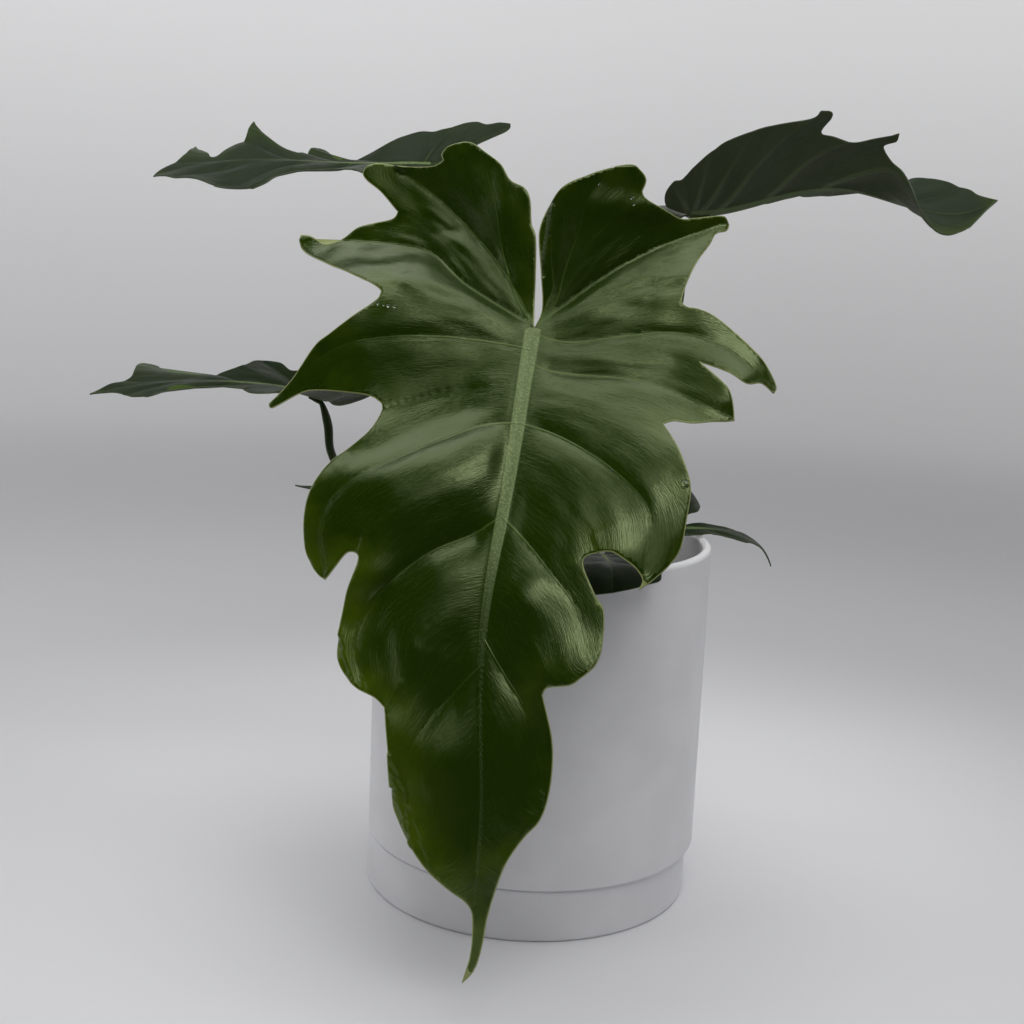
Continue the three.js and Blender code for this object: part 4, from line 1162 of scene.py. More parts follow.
def upper_face_material(name, settings, groups, deep, edge, finish):
    """Green upper face with a pale midrib, fine streaks and a thin paler edge."""
    material, tree, shader = new_material(name)
    markings, tissue = groups
    marks = group_node(tree, markings, Vein_width=0.0005, Edge_width=0.00035)
    grain = group_node(tree, tissue)
    along = attribute(tree, "along_leaf")
    near_edge = ramp(tree, attribute(tree, "margin_distance"), 0.0, 0.017, 1, 0)
    # Yellowing of the margins, streaks and tip, with painted light and shade on the lower part of
    # the blade
    yellow_and_lit = yellowness_and_painted_light(tree, grain, along, attribute(tree, "sideways"), near_edge)
    colour = mix_colour(tree, product(tree, yellow_and_lit, finish["yellowing_and_painted_light"]), solid(deep),
                        solid(settings.young_colour))
    vein = product(tree, marks["Vein"], ramp(tree, along, 0.28, 0.6, 1.0, 0.25))
    colour = mix_colour(tree, vein, colour, solid(settings.vein_colour))
    freckle = ramp(tree, grain["Cell"], 0.1, 0.6, 0.0, 0.7)
    midrib = mix_colour(tree, freckle, solid(settings.midrib_colour),
                        solid(settings.midrib_colour, 0.45))
    rib = product(tree, marks["Midrib"],
                  ramp(tree, along, 0.28, 0.56, 1.0, finish["far_midrib"]))
    colour = mix_colour(tree, rib, colour, midrib)
    colour = mix_colour(tree, marks["Edge"], colour, solid(edge))
    smoothest, roughest = finish["roughness"] - 0.04, finish["roughness"] + 0.05
    rough = ramp(tree, grain["Streak"], 0.3, 0.75, smoothest, roughest)
    rougher_midrib = product(tree, rib, 0.14)
    normal = bump(tree, grain["Streak"], 0.45, 0.26 * MM)
    normal = bump(tree, grain["Fine"], 0.6, 0.14 * MM, normal)
    normal = bump(tree, marks["Vein"], 0.5, 0.25 * MM, normal)
    normal = bump(tree, product(tree, grain["Cell"], marks["Midrib"]), 0.5, 0.2 * MM, normal)
    coat(tree, shader, colour, total(tree, rough, rougher_midrib), normal, finish["specular"])
    shader.inputs["Specular Tint"].default_value = solid(finish["tint"])
    return material


def underside_material(settings, groups):
    """Dull grey green underside, where the raised veins are a little paler."""
    material, tree, shader = new_material("dull_underside")
    markings, tissue = groups
    marks = group_node(tree, markings, Vein_width=0.0028, Edge_width=0.0006)
    grain = group_node(tree, tissue)
    pale = solid(settings.under_colour, 2.8)
    shade = ramp(tree, grain["Blotch"], 0.3, 0.7, 0.0, 0.3)
    colour = mix_colour(tree, shade, solid(settings.under_colour), solid(settings.upper_colour))
    colour = mix_colour(tree, ramp(tree, grain["Streak"], 0.4, 0.8, 0, 0.18), colour, pale)
    colour = mix_colour(tree, product(tree, marks["Vein"], 0.5), colour, pale)
    colour = mix_colour(tree, product(tree, marks["Midrib"], 0.8), colour, pale)
    normal = bump(tree, grain["Streak"], 0.5, 0.3 * MM)
    normal = bump(tree, grain["Cell"], 0.2, 0.15 * MM, normal)
    coat(tree, shader, colour, ramp(tree, grain["Cell"], 0.0, 0.7, 0.46, 0.62), normal, 0.3)
    return material


def edge_material(name, colour, other):
    """Thin edge of a blade, a little uneven along its length."""
    material, tree, shader = new_material(name)
    patchy = cloud(tree, object_place(tree), 90.0)
    greener = mix_colour(tree, 0.5, solid(colour), solid(other))
    colour = mix_colour(tree, ramp(tree, patchy, 0.4, 0.65), solid(colour), greener)
    coat(tree, shader, colour, ramp(tree, patchy, 0.2, 0.8, 0.4, 0.55))
    return material


def water_material():
    """Clear water with the faintest unevenness on its surface."""
    material, tree, shader = new_material("clear_water")
    swirl = cloud(tree, object_place(tree), 700.0, 1.0)
    colour = mix_colour(tree, swirl, solid((1.0, 1.0, 1.0)), solid((0.93, 0.97, 0.93)))
    coat(tree, shader, colour, ramp(tree, swirl, 0.3, 0.7, 0.0, 0.03),
         bump(tree, swirl, 0.1, 0.1 * MM))
    shader.inputs["Transmission Weight"].default_value = 1.0
    shader.inputs["IOR"].default_value = 1.33
    return material


def plant_fibre_group():
    """Lengthwise fibres, small pale flecks and broad clouding of a stalk."""
    group, given, wanted = new_group("Plant fibre", {"Fibres": 60.0},
                                     ("Fibre", "Fleck", "Cloud"))
    lengthwise = 40.0
    fibres = drawn_out(group, flat_place(group, "stalk"), given["Fibres"], lengthwise)
    place = object_place(group)
    patterns = {
        "Fibre": cloud(group, fibres, 1.0, 3.0),
        "Fleck": ramp(group, cells(group, place, 520.0)["Distance"], 0.12, 0.26, 1, 0),
        "Cloud": cloud(group, place, 45.0),
    }
    for label, pattern in patterns.items():
        group.links.new(pattern, wanted[label])
    return group


def stalk_material(name, base, pale, fibre, roughness):
    """Satin stalk with lengthwise fibres, clouding and small pale flecks."""
    material, tree, shader = new_material(name)
    grain = group_node(tree, fibre)
    colour = mix_colour(tree, ramp(tree, grain["Cloud"], 0.35, 0.65), solid(base),
                        solid(base, 0.6))
    colour = mix_colour(tree, ramp(tree, grain["Fibre"], 0.5, 0.8, 0, 0.4), colour, pale)
    colour = mix_colour(tree, product(tree, grain["Fleck"], 0.35), colour, pale)
    smoothest, roughest = roughness - 0.06, roughness + 0.08
    normal = bump(tree, grain["Fibre"], 0.5, 0.3 * MM)
    normal = bump(tree, grain["Fleck"], 0.3, 0.2 * MM, normal)
    coat(tree, shader, colour, ramp(tree, grain["Fibre"], 0.3, 0.7, smoothest, roughest), normal,
         0.3)
    return material


def ceramic_material(settings, lip_height):
    """Matte white ceramic with a fine tooth, faint mottling and a few tiny dark specks.

    The pot's lip, from lip_height up, is a little smoother, and whiter with painted light.
    """
    material, tree, shader = new_material("matte_ceramic")
    place = object_place(tree)
    mottle = cloud(tree, place, 28.0, 3.0)
    specks = cells(tree, place, 75.0)
    speck_choice = node(tree, "ShaderNodeSeparateColor", {"Color": specks["Color"]})
    rare = ramp(tree, speck_choice.outputs["Red"], 0.965, 0.97)
    speck = product(tree, rare, ramp(tree, specks["Distance"], 0.02, 0.045, 1, 0))
    white = settings.ceramic_colour
    colour = mix_colour(tree, ramp(tree, mottle, 0.35, 0.65), solid(white), solid(white, 0.94))
    colour = mix_colour(tree, speck, colour, solid(white, 0.3))
    height = node(tree, "ShaderNodeSeparateXYZ", {"Vector": place}).outputs["Z"]
    lip_smooth_and_painted_light = ramp(tree, height, lip_height, lip_height + 1.2 * MM)
    # Painted light: the lip is painted whiter than the rest of the pot
    colour = mix_colour(tree, lip_smooth_and_painted_light, colour, solid((0.95, 0.95, 0.96)))
    rough = maths(tree, "SUBTRACT", ramp(tree, mottle, 0.3, 0.7, 0.36, 0.46),
                  product(tree, lip_smooth_and_painted_light, 0.2))
    tooth = bump(tree, cloud(tree, place, 1500.0), 0.25, 0.12 * MM)
    coat(tree, shader, colour, rough, tooth, 0.4)
    return material


def soil_material(name, colour, pale, scale):
    """Moist crumbly soil or a chip in it, with paler dust on the high spots."""
    material, tree, shader = new_material(name)
    crumb = cloud(tree, object_place(tree), scale, 6.0, 0.7)
    mixed = mix_colour(tree, ramp(tree, crumb, 0.42, 0.72), solid(colour), solid(pale))
    coat(tree, shader, mixed, ramp(tree, crumb, 0.3, 0.7, 0.75, 0.95),
         bump(tree, crumb, 0.9, 1.2 * MM))
    return material


def floor_material(settings):
    """Pale floor with the faintest unevenness and painted shade away from the plant, whose far wall
    glows from within as painted light.
    """
    material, tree, shader = new_material("pale_floor")
    place = object_place(tree)
    grey = settings.floor_colour
    colour = mix_colour(tree, ramp(tree, cloud(tree, place, 1.6), 0.35, 0.65), solid(grey),
                        solid(grey, 0.97))
    around = node(tree, "ShaderNodeVectorMath", {0: place}, operation="LENGTH").outputs["Value"]
    axes = node(tree, "ShaderNodeSeparateXYZ", {"Vector": place}).outputs
    # Painted shade: the floor darkens away from the plant, more at the right than at the left
    shaded = mix_colour(tree, ramp(tree, axes["X"], -0.6, 0.5), solid(grey, 0.76),
                        solid(grey, 0.66))
    colour = mix_colour(tree, ramp(tree, around, 0.12, 0.5), colour, shaded)
    # Painted light: the far wall glows, brighter higher up and a little brighter at the left
    full = [settings.wall_glow] * 3
    low = mix_colour(tree, ramp(tree, axes["X"], -0.8, 0.8), solid(full, 0.45), solid(full, 0.42))
    lit = mix_colour(tree, ramp(tree, axes["Z"], -0.1, 0.95), low, solid(full))
    glow = mix_colour(tree, ramp(tree, around, 0.8, 2.4), solid((0.0, 0.0, 0.0)), lit)
    tree.links.new(glow, shader.inputs["Emission Color"])
    shader.inputs["Emission Strength"].default_value = 1.0
    coat(tree, shader, colour, 0.7, specular=0.2)
    # The wall is wide and dim, so its light is found well enough without aiming at it
    material.cycles.emission_sampling = "NONE"
    return material


def turned_mesh(name, profile, material, steps=192, shift=(0, 0)):
    """A body of revolution about +Z from radius and height pairs that start and end on the axis."""
    levels = [circle(radius, height, steps) for radius, height in profile[1:-1]]
    points = np.concatenate([[(0, 0, profile[0][1])], *levels, [(0, 0, profile[-1][1])]])
    points += (*shift, 0)
    faces = ring_faces(len(levels), steps, start=0, end=len(points) - 1)
    return mesh_object(name, points, faces, [material])


def arc(centre, radius, start, end, steps):
    """Points of a round corner in a profile, from one angle to another in degrees."""
    angles = np.radians(np.linspace(start, end, steps + 1))
    return [(centre[0] + radius * math.cos(a), centre[1] + radius * math.sin(a)) for a in angles]


# The pot and its saucer. The pot's narrower foot stands in the saucer, and the wall steps out to
# the full width over a soft shoulder just above the saucer's brim.
WALL = 4 * MM
FOOT_RADIUS = 67 * MM
FOOT_ROUND = 1.5 * MM
SHOULDER_GAP = 0.3 * MM
SHOULDER_CREASE = 0.5 * MM
SHOULDER_ROUND = 1.1 * MM
POT_FLOOR = 5 * MM
SAUCER_FLOOR = 3.5 * MM
SAUCER_EDGE = 1.6 * MM
SAUCER_BRIM = 0.9 * MM
LIP_ZONE = 2.4 * MM


def pot_profile(radius, bottom, top, shoulder, lip):
    """Outside of the pot from its foot up, then over the lip and down its inside."""
    inside_radius, inside_foot = radius - WALL, FOOT_RADIUS - WALL
    floor = bottom + POT_FLOOR
    return [
        (0, bottom),
        *arc((FOOT_RADIUS - FOOT_ROUND, bottom + FOOT_ROUND), FOOT_ROUND, -90, 0, 5),
        (FOOT_RADIUS, shoulder - SHOULDER_CREASE), (FOOT_RADIUS + SHOULDER_CREASE, shoulder),
        *arc((radius - SHOULDER_ROUND, shoulder + SHOULDER_ROUND), SHOULDER_ROUND, -90, 0, 8),
        (radius, shoulder + 4 * MM), (radius, top - 8 * MM),
        *arc((radius - lip, top - lip), lip, 0, 90, 10),
        *arc((inside_radius + lip, top - lip), lip, 90, 180, 10),
        (inside_radius, top - 8 * MM),
        (inside_radius, shoulder + WALL + 4 * MM), (inside_foot, shoulder + WALL),
        (inside_foot, floor + 2 * MM), (inside_foot - 2 * MM, floor), (0, floor),
    ]


def saucer_profile(radius, top):
    """Outside of the saucer from below up, then over its brim and across its floor."""
    inner = radius - WALL
    return [
        (0, 0), (radius - SAUCER_EDGE - 2 * MM, 0),
        *arc((radius - SAUCER_EDGE, SAUCER_EDGE), SAUCER_EDGE, -90, 0, 8),
        (radius, 4 * MM), (radius, top - 4 * MM),
        *arc((radius - SAUCER_BRIM, top - SAUCER_BRIM), SAUCER_BRIM, 0, 90, 8),
        *arc((inner + SAUCER_BRIM, top - SAUCER_BRIM), SAUCER_BRIM, 90, 180, 8),
        (inner, 6 * MM), (inner - 2.5 * MM, SAUCER_FLOOR), (0, SAUCER_FLOOR),
    ]


def build_pot(settings, ceramic):
    """Pot and saucer as smooth bodies of revolution, sized from their frame nodes."""
    low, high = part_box("pot")
    dish_low, dish_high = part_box("saucer")
    shoulder = dish_high.z + SHOULDER_GAP
    pot = turned_mesh("pot_body", pot_profile((high.x - low.x) / 2, low.z, high.z, shoulder,
                                              settings.lip_round), ceramic)
    saucer = turned_mesh("saucer_dish",
                         saucer_profile((dish_high.x - dish_low.x) / 2, dish_high.z), ceramic,
                         shift=((dish_low.x + dish_high.x) / 2, 0))
    for piece, name in ((pot, "pot"), (saucer, "saucer")):
        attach(piece, BODY)
        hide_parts(name)


# The soil: height of its mound, which is level up to MOUND_TOP of the radius, height of its
# crumbs and how far they lie under the mound on average. CRUMB_NOISE is their fractal's
# dimension, lacunarity and octaves.
MOUND = 2.5 * MM
MOUND_TOP = 0.25
CRUMBS = 1.1 * MM
CRUMB_DEPTH = 0.9 * MM
CRUMBS_PER_METRE = 160
CRUMB_NOISE = (0.7, 2.1, 5)
SOIL_FOOT = 62 * MM


def soil_height(x, y, top, radius):
    """Height of the soil's surface: a low mound with crumbs and hollows."""
    distance = np.hypot(x, y) / radius
    mound = top - MOUND + MOUND * (1 - smoothstep(MOUND_TOP, 1.0, distance))
    crumbs = np.array([noise.fractal(Vector((a, b, 0)) * CRUMBS_PER_METRE, *CRUMB_NOISE)
                       for a, b in zip(x, y)])
    return mound + crumbs * CRUMBS - CRUMB_DEPTH


def build_soil(settings):
    """Soil that fills the pot, with a crumbly top, and the bark and pumice chips on it."""
    box_low, box_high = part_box("soil")
    radius, top = box_high.x, box_high.z
    rings, steps = 56, 168
    levels = [circle(radius * ring / rings, 0, steps) for ring in range(1, rings + 1)]
    surface = np.concatenate([np.zeros((1, 3)), *levels])
    surface[:, 2] = soil_height(surface[:, 0], surface[:, 1], top, radius)
    wall = circle(SOIL_FOOT, box_low.z, steps)
    vertices = np.concatenate([surface, wall, [(0, 0, box_low.z)]])
    faces = ring_faces(rings + 1, steps, start=0, end=len(vertices) - 1, climbing=False)
    dark = soil_material("moist_soil", settings.soil_colour, (0.085, 0.06, 0.04),
                         scale=420.0)
    soil = mesh_object("potting_soil", vertices, faces, [dark])
    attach(soil, BODY)
    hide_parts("soil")
    build_chips(settings, radius, top)


# Each kind of chip: its two colours, its share of the chips, and its half sizes in millimetres
CHIP_KINDS = {
    "bark_chips": ((0.060, 0.034, 0.018), (0.14, 0.09, 0.055), 0.72, (2.6, 1.6, 0.9)),
    "pumice_grains": ((0.36, 0.34, 0.30), (0.55, 0.53, 0.48), 0.28, (1.3, 1.1, 0.9)),
}

# How chips differ: in size, in the place of each corner, and in how far they tilt, in radians
CHIP_SEED = 11
CHIP_SIZES = (0.55, 1.25)
CORNER_SHIFTS = (0.75, 1.2)
CHIP_TILTS = (-0.5, 0.5)


def chip_shape():
    """Corners and triangles of a chip: a cube with a blunt pyramid on each side."""
    corners = [(x, y, z) for x in (-1, 1) for y in (-1, 1) for z in (-1, 1)]
    tips = [(0, 0, 1.5), (0, 0, -1.5), (1.5, 0, 0), (-1.5, 0, 0), (0, 1.5, 0), (0, -1.5, 0)]
    sides = [(1, 3, 7, 5), (0, 4, 6, 2), (4, 5, 7, 6), (0, 2, 3, 1), (2, 6, 7, 3), (0, 1, 5, 4)]
    facets = [(ring[k], ring[(k + 1) % 4], 8 + tip)
              for tip, ring in enumerate(sides) for k in range(4)]
    return np.array(corners + tips, float), facets


def build_chips(settings, radius, top):
    """Bark chips and pumice grains lying in the top of the soil, as one piece of each kind."""
    rng = np.random.default_rng(CHIP_SEED)
    corner, facets = chip_shape()
    clear_of_wall, rise = 4 * MM, 0.3 * MM
    for name, (colour, pale, part, size) in CHIP_KINDS.items():
        vertices, faces = [], []
        for _ in range(int(settings.chip_count * part)):
            reach = (radius - clear_of_wall) * math.sqrt(rng.uniform(0, 1))
            turn = rng.uniform(0, 2 * math.pi)
            x, y = reach * math.cos(turn), reach * math.sin(turn)
            height = soil_height(np.array([x]), np.array([y]), top, radius)[0]
            spin = Matrix.Rotation(rng.uniform(0, 2 * math.pi), 3, "Z")
            tilt = Matrix.Rotation(rng.uniform(*CHIP_TILTS), 3, "X")
            grown = corner * np.array(size) * MM * rng.uniform(*CHIP_SIZES)
            grown = grown * rng.uniform(*CORNER_SHIFTS, corner.shape)
            placed = grown @ np.array(spin @ tilt).T + (x, y, height + rise)
            start = len(vertices)
            vertices += list(placed)
            faces += [tuple(start + i for i in facet) for facet in facets]
        material = soil_material(name + "_finish", colour, pale, scale=300.0)
        chips = mesh_object(name, vertices, faces, [material], smooth=False)
        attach(chips, BODY)


def sweep(points, radii, sides, groove=0.0):
    """Round tube along a line of points, closed at both ends, with a groove on its upper side.

    Gives its points and faces, and for each point how far round and along the tube it lies.
    """
    points = np.asarray(points, float)
    tangents = np.gradient(points, axis=0)
    tangents /= np.linalg.norm(tangents, axis=1, keepdims=True)
    angles = np.arange(sides) * 2 * math.pi / sides
    groove_width = 0.45
    dent = 1 - groove * np.exp(-((angles - math.pi / 2) / groove_width) ** 2)
    across = np.cross(tangents[0], (0.31, 0.12, 0.9))
    levels = []
    for centre, along, radius in zip(points, tangents, radii):
        across = across - along * (across @ along)
        across /= np.linalg.norm(across)
        other = np.cross(along, across)
        ring = np.cos(angles)[:, None] * across + np.sin(angles)[:, None] * other
        levels.append(centre + ring * (radius * dent)[:, None])
    vertices = np.concatenate([*levels, [points[0]], [points[-1]]])
    rows = len(points)
    faces = ring_faces(rows, sides, first=0, start=rows * sides, end=rows * sides + 1)
    length = length_along(points)
    around = np.tile(np.abs(np.arange(sides) / sides * 2 - 1), rows)
    flow = np.stack([around, np.repeat(length, sides)], -1)
    return vertices, faces, np.concatenate([flow, [(0, 0), (0, length[-1])]])


# A petiole stands this deep in the soil. It is widened by its sheath there and by a knee under
# the blade, each with its place along the stalk and its reach, and narrows from TAPER_START on.
PETIOLE_DEPTH = 9
SHEATH, SHEATH_REACH = 0.45, 0.10
KNEE, KNEE_PLACE, KNEE_REACH = 0.10, 0.88, 0.045
TAPER, TAPER_START = 0.62, 0.9


def build_petiole(name, leaf, settings, material):
    """One leaf stalk: from its sheath in the soil to the swollen knee under the blade."""
    radius, foot, route = PETIOLES[name]
    shape = LeafShape(leaf)
    scale = (leaf["length"] / FULL_LENGTH) ** RELIEF_POWER
    dip = MIDRIB_SHARE * settings.vein_depth / MM * scale
    soil_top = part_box("soil")[1].z / MM

    def under(v, depth):
        u, at = np.array([0.0]), np.array([float(v)])
        return tuple((shape.surface(u, at) - shape.normal(u, at) * (depth + dip))[0])

    # It stands upright in the soil, and its end runs on under the midrib, ever nearer to the blade
    knots = [(*foot, soil_top - PETIOLE_DEPTH), (*foot, soil_top - 4), (*foot, soil_top + 1),
             *route, under(0.3, radius + 0.5), under(radius * 1.5, radius * 0.62 + 0.6),
             under(radius * 3.4, radius * 0.3 + 0.6)]
    line = smooth_line(knots, 1.2)
    t = np.linspace(0, 1, len(line))
    sheath = SHEATH * np.exp(-(t / SHEATH_REACH) ** 2)
    knee = KNEE * np.exp(-((t - KNEE_PLACE) / KNEE_REACH) ** 2)
    taper = 1 - smoothstep(TAPER_START, 1.0, t) * TAPER
    radii = radius * (1.1 - 0.2 * t + sheath + knee) * taper
    vertices, faces, flow = sweep(line * MM, radii * MM, sides=24, groove=0.12)
    stalk = mesh_object(name + "_stalk", vertices, faces, [material])
    add_flat_map(stalk, "stalk", flow)
    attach(stalk, BODY)
    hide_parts(name + "_petiole")


def build_stem(material):
    """Short upright stem with rings where old leaves stood, and shallow ribs round it."""
    low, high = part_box("stem")
    centre = (low + high) / 2
    radius = (high.x - low.x) / 2 / MM
    rows, leaf_scars, ribs = 44, 4, 7
    heights = np.linspace(low.z, high.z - 0.4 * MM, rows)
    share = (heights - low.z) / (high.z - low.z)
    scars = 0.5 * np.maximum(0, np.sin(share * 2 * math.pi * leaf_scars)) ** 6
    radii = (radius * (1 - 0.42 * smoothstep(0.45, 1.0, share)) - 0.3 + scars) * MM
    radii[-1] *= 0.55
    lean = np.sin(share * 3) * 0.5 * MM
    line = np.stack([centre.x + lean, np.full(rows, centre.y), heights], -1)
    vertices, faces, flow = sweep(line, radii, sides=40)
    middle = (centre.x, centre.y)
    offset = vertices[:, :2] - middle
    angle = np.arctan2(offset[:, 1], offset[:, 0])
    rough = 1 + 0.03 * np.sin(angle * ribs + vertices[:, 2] / MM * 0.8)
    vertices[:, :2] = middle + offset * rough[:, None]
    stem = mesh_object("short_stem", vertices, faces, [material])
    add_flat_map(stem, "stalk", flow)
    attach(stem, BODY)
    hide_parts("stem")


class PLANT_OT_blades(bpy.types.Operator):
    """Build the seven veined blades"""

    bl_idname = "plant.build_blades"
    bl_label = "Build blades"

    def execute(self, context):
        settings = context.scene.plant_leaves
        groups = leaf_markings_group(), leaf_tissue_group()
        glossy = upper_face_material("glossy_upper_face", settings, groups,
                                     settings.upper_colour, settings.margin_colour, GLOSSY)
        duller = upper_face_material("duller_upper_face", settings, groups,
                                     settings.older_colour, settings.vein_colour, DULLER)
        under = underside_material(settings, groups)
        cream = edge_material("cream_edge", settings.margin_colour, settings.young_colour)
        green = edge_material("green_edge", settings.under_colour, settings.vein_colour)
        for number, (name, leaf) in enumerate(LEAVES.items()):
            upper, edge = (glossy, cream) if name == "front_leaf" else (duller, green)
            seed = 3.7 * number + 1
            blade = build_blade(name, leaf, settings, [upper, under, edge], seed)
            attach(blade, BODY)
            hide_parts(name + "_blade")
            if leaf["drops"]:
                build_drops(leaf, settings, seed)
        return {"FINISHED"}


class PLANT_OT_stalks(bpy.types.Operator):
    """Build the petioles and the stem that they stand round"""

    bl_idname = "plant.build_stalks"
    bl_label = "Build petioles and stem"

    def execute(self, context):
        settings = context.scene.plant_leaves
        fibre = plant_fibre_group()
        green = settings.petiole_colour
        skin = stalk_material("petiole_skin", green, solid(green, 2.6), fibre, roughness=0.42)
        for name, leaf in LEAVES.items():
            build_petiole(name, leaf, settings, skin)
        bark = stalk_material("stem_skin", (0.075, 0.075, 0.030), solid((0.22, 0.19, 0.11)),
                              fibre, roughness=0.66)
        build_stem(bark)
        return {"FINISHED"}


class PLANT_OT_pot(bpy.types.Operator):
    """Build the pot and its saucer"""

    bl_idname = "plant.build_pot"
    bl_label = "Build pot and saucer"

    def execute(self, context):
        settings = context.scene.plant_pot
        build_pot(settings, ceramic_material(settings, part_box("pot")[1].z - LIP_ZONE))
        return {"FINISHED"}


class PLANT_OT_soil(bpy.types.Operator):
    """Build the soil with its chips"""

    bl_idname = "plant.build_soil"
    bl_label = "Build soil"

    def execute(self, context):
        build_soil(context.scene.plant_pot)
        return {"FINISHED"}


# The camera, fitted to the pot: its place in millimetres, and its pitch down, yaw and roll in
# degrees
CAMERA_PLACE = (0, -652.9, 289.6)
CAMERA_TURN = (10.36, -1.295, 2.488)


def camera_matrix(place, pitch, yaw, roll):
    """World matrix of a camera that looks along +Y, turned down, sideways and about its axis."""
    forward = Vector((math.sin(yaw) * math.cos(pitch), math.cos(yaw) * math.cos(pitch),
                      -math.sin(pitch)))
    right = Vector((math.cos(yaw), -math.sin(yaw), 0))
    up = right.cross(forward)
    across = right * math.cos(roll) + up * math.sin(roll)
    above = up * math.cos(roll) - right * math.sin(roll)
    turn = Matrix((across, above, -forward)).transposed().to_4x4()
    return Matrix.Translation(place) @ turn


def build_camera(settings):
    camera = bpy.data.objects.new("camera", bpy.data.cameras.new("camera"))
    camera.data.sensor_width = 36.0
    camera.data.lens = settings.lens
    camera.matrix_world = camera_matrix(Vector(CAMERA_PLACE) * MM,
                                        *(math.radians(angle) for angle in CAMERA_TURN))
    bpy.context.scene.collection.objects.link(camera)
    bpy.context.scene.camera = camera


def build_floor(settings):
    """A wide round floor that sweeps up into a low wall far from the plant."""
    flat, bend, wall = 1.7, 0.7, 1.3
    profile = [(0.4, 0.0), (1.0, 0.0), (flat, 0.0)]
    profile += arc((flat, bend), bend, -84, 0, 14)
    profile += [(flat + bend, bend + wall)]
    steps = 96
    levels = [circle(radius, height, steps) for radius, height in profile]
    points = np.concatenate([np.zeros((1, 3)), *levels])
    faces = ring_faces(len(profile), steps, start=0, climbing=False)
    floor = mesh_object("floor", points, faces, [floor_material(settings)])


# Lights: place, aim, size and shape. All lengths are in metres.
OVERHEAD = ((0.0, 0.1, 1.15), (0, 0.1, 0), (1.5, 0.9), "RECTANGLE")
SOFTBOX = ((0.12, -0.83, 1.07), (0.0, 0.0, 0.2), (0.70, 0.44), "ELLIPSE")
SOFTBOX_HALO = ((0.10, -0.86, 1.05), (0.0, 0.0, 0.2), (1.5, 0.86), "ELLIPSE")
LEFT_FILL = ((-1.2, -0.3, 0.6), (0, 0, 0.05), (0.8, 0.8), "RECTANGLE")
ROOM_STRENGTH = 0.06


def area_light(name, placing, power):
    """A soft light that isn't seen itself."""
    place, aim, size, shape = placing
    light = bpy.data.lights.new(name, "AREA")
    light.shape = shape
    light.size, light.size_y = size
    light.energy = power
    made = bpy.data.objects.new(name, light)
    made.location = place
    made.rotation_mode = "QUATERNION"
    made.rotation_quaternion = (Vector(aim) - Vector(place)).to_track_quat("-Z", "Y")
    made.visible_camera = False
    bpy.context.scene.collection.objects.link(made)
    return made


def build_lights(settings):
    """A wide light overhead, a softbox with a dimmer halo above the camera, a dull light at the
    left, and a dim grey room."""
    area_light("overhead_light", OVERHEAD, settings.overhead_power)
    area_light("softbox", SOFTBOX, settings.softbox_power)
    area_light("softbox_halo", SOFTBOX_HALO, settings.halo_power)
    fill = area_light("left_fill", LEFT_FILL, settings.fill_power)
    fill.visible_glossy = False
    world = bpy.data.worlds.new("room")
    world.use_nodes = True
    background = world.node_tree.nodes["Background"]
    background.inputs["Color"].default_value = (1.0, 1.0, 1.02, 1.0)
    background.inputs["Strength"].default_value = ROOM_STRENGTH
    bpy.context.scene.world = world
    bpy.context.scene.view_settings.view_transform = "Standard"


# Dark cards: from and to radius and height in metres, over these angles about the Z axis in
# degrees, in CARD_STEPS
CARDS = {
    "upright_dark_card": ((1.25, 0.02), (1.25, 1.5)),
    "lying_dark_card": ((0.36, 0.004), (1.25, 0.004)),
}
CARD_ANGLES = (-176, -30)
CARD_STEPS = 30


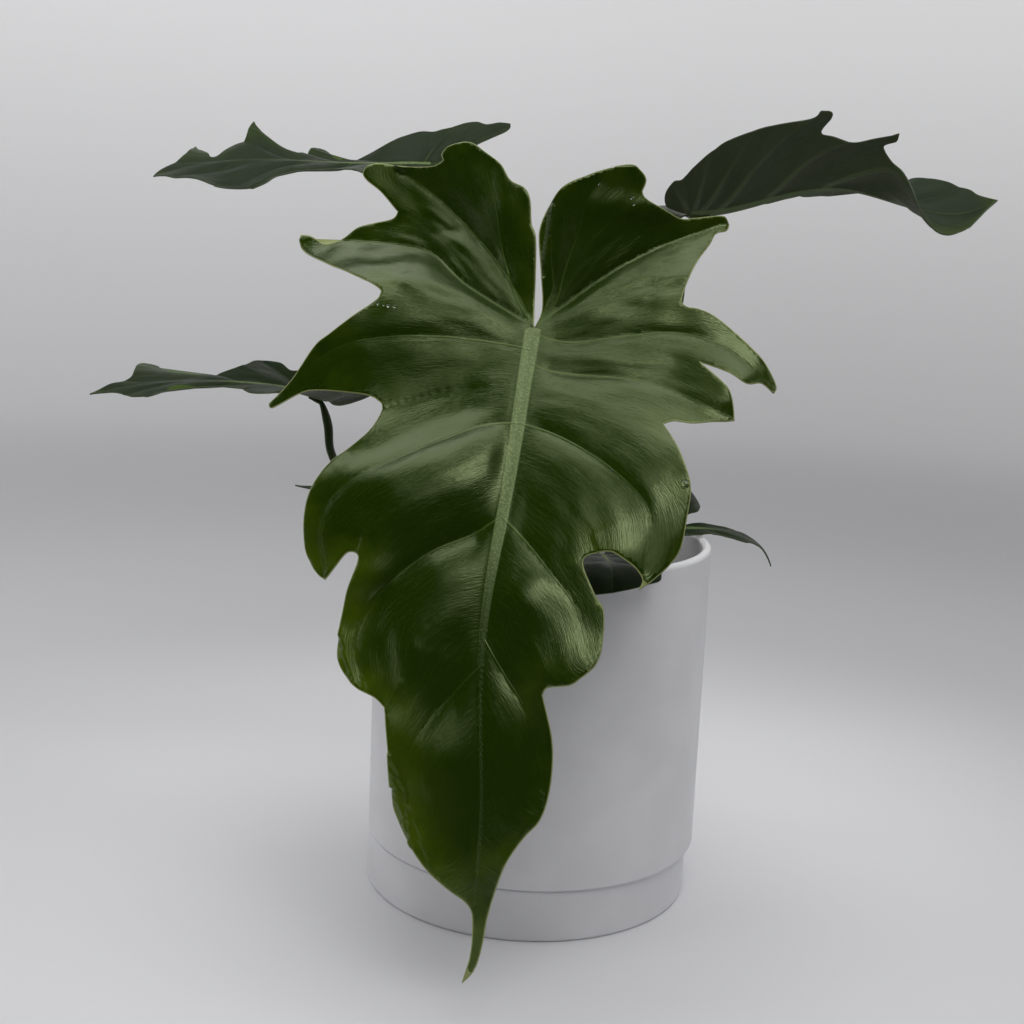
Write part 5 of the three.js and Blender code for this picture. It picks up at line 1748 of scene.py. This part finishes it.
def build_dark_cards():
    """Black cards round the camera's side, which darken what the plant mirrors from there."""
    material, tree, shader = new_material("black_card")
    weave = cloud(tree, object_place(tree), 60.0)
    colour = mix_colour(tree, weave, solid([0.002] * 3), solid([0.006] * 3))
    coat(tree, shader, colour, 1.0, specular=0.0)
    count = CARD_STEPS + 1
    angles = np.radians(np.linspace(*CARD_ANGLES, count))
    faces = [(i, i + 1, count + i + 1, count + i) for i in range(CARD_STEPS)]
    for name, profile in CARDS.items():
        points = [(radius * math.cos(a), radius * math.sin(a), z)
                  for radius, z in profile for a in angles]
        card = mesh_object(name, points, faces, [material])
        card.visible_camera = False
        card.visible_shadow = False
        card.visible_diffuse = name == "upright_dark_card"


class PLANT_OT_stage(bpy.types.Operator):
    """Build the floor, the lights and the camera"""

    bl_idname = "plant.build_stage"
    bl_label = "Build stage"

    def execute(self, context):
        settings = context.scene.plant_stage
        build_floor(settings)
        build_lights(settings)
        build_dark_cards()
        build_camera(settings)
        return {"FINISHED"}


class PLANT_PT_panel(bpy.types.Panel):
    """Buttons and sizes for the potted plant"""

    bl_idname = "PLANT_PT_panel"
    bl_label = "Potted philodendron"
    bl_space_type = "VIEW_3D"
    bl_region_type = "UI"
    bl_category = "Plant"

    def draw(self, context):
        scene = context.scene
        for group in (scene.plant_leaves, scene.plant_pot, scene.plant_stage):
            for name in group.__annotations__:
                self.layout.prop(group, name)
        for operator in OPERATORS:
            self.layout.operator(operator.bl_idname)


OPERATORS = [PLANT_OT_stage, PLANT_OT_pot, PLANT_OT_soil, PLANT_OT_stalks, PLANT_OT_blades]
CLASSES = [LeafSettings, PotSettings, StageSettings, *OPERATORS, PLANT_PT_panel]


def register():
    for cls in CLASSES:
        bpy.utils.register_class(cls)
    bpy.types.Scene.plant_leaves = PointerProperty(type=LeafSettings)
    bpy.types.Scene.plant_pot = PointerProperty(type=PotSettings)
    bpy.types.Scene.plant_stage = PointerProperty(type=StageSettings)


def unregister():
    del bpy.types.Scene.plant_stage
    del bpy.types.Scene.plant_pot
    del bpy.types.Scene.plant_leaves
    for cls in reversed(CLASSES):
        bpy.utils.unregister_class(cls)


def main():
    register()
    bpy.ops.plant.build_stage()
    bpy.ops.plant.build_pot()
    bpy.ops.plant.build_soil()
    bpy.ops.plant.build_stalks()
    bpy.ops.plant.build_blades()


if __name__ == "__main__":
    main()
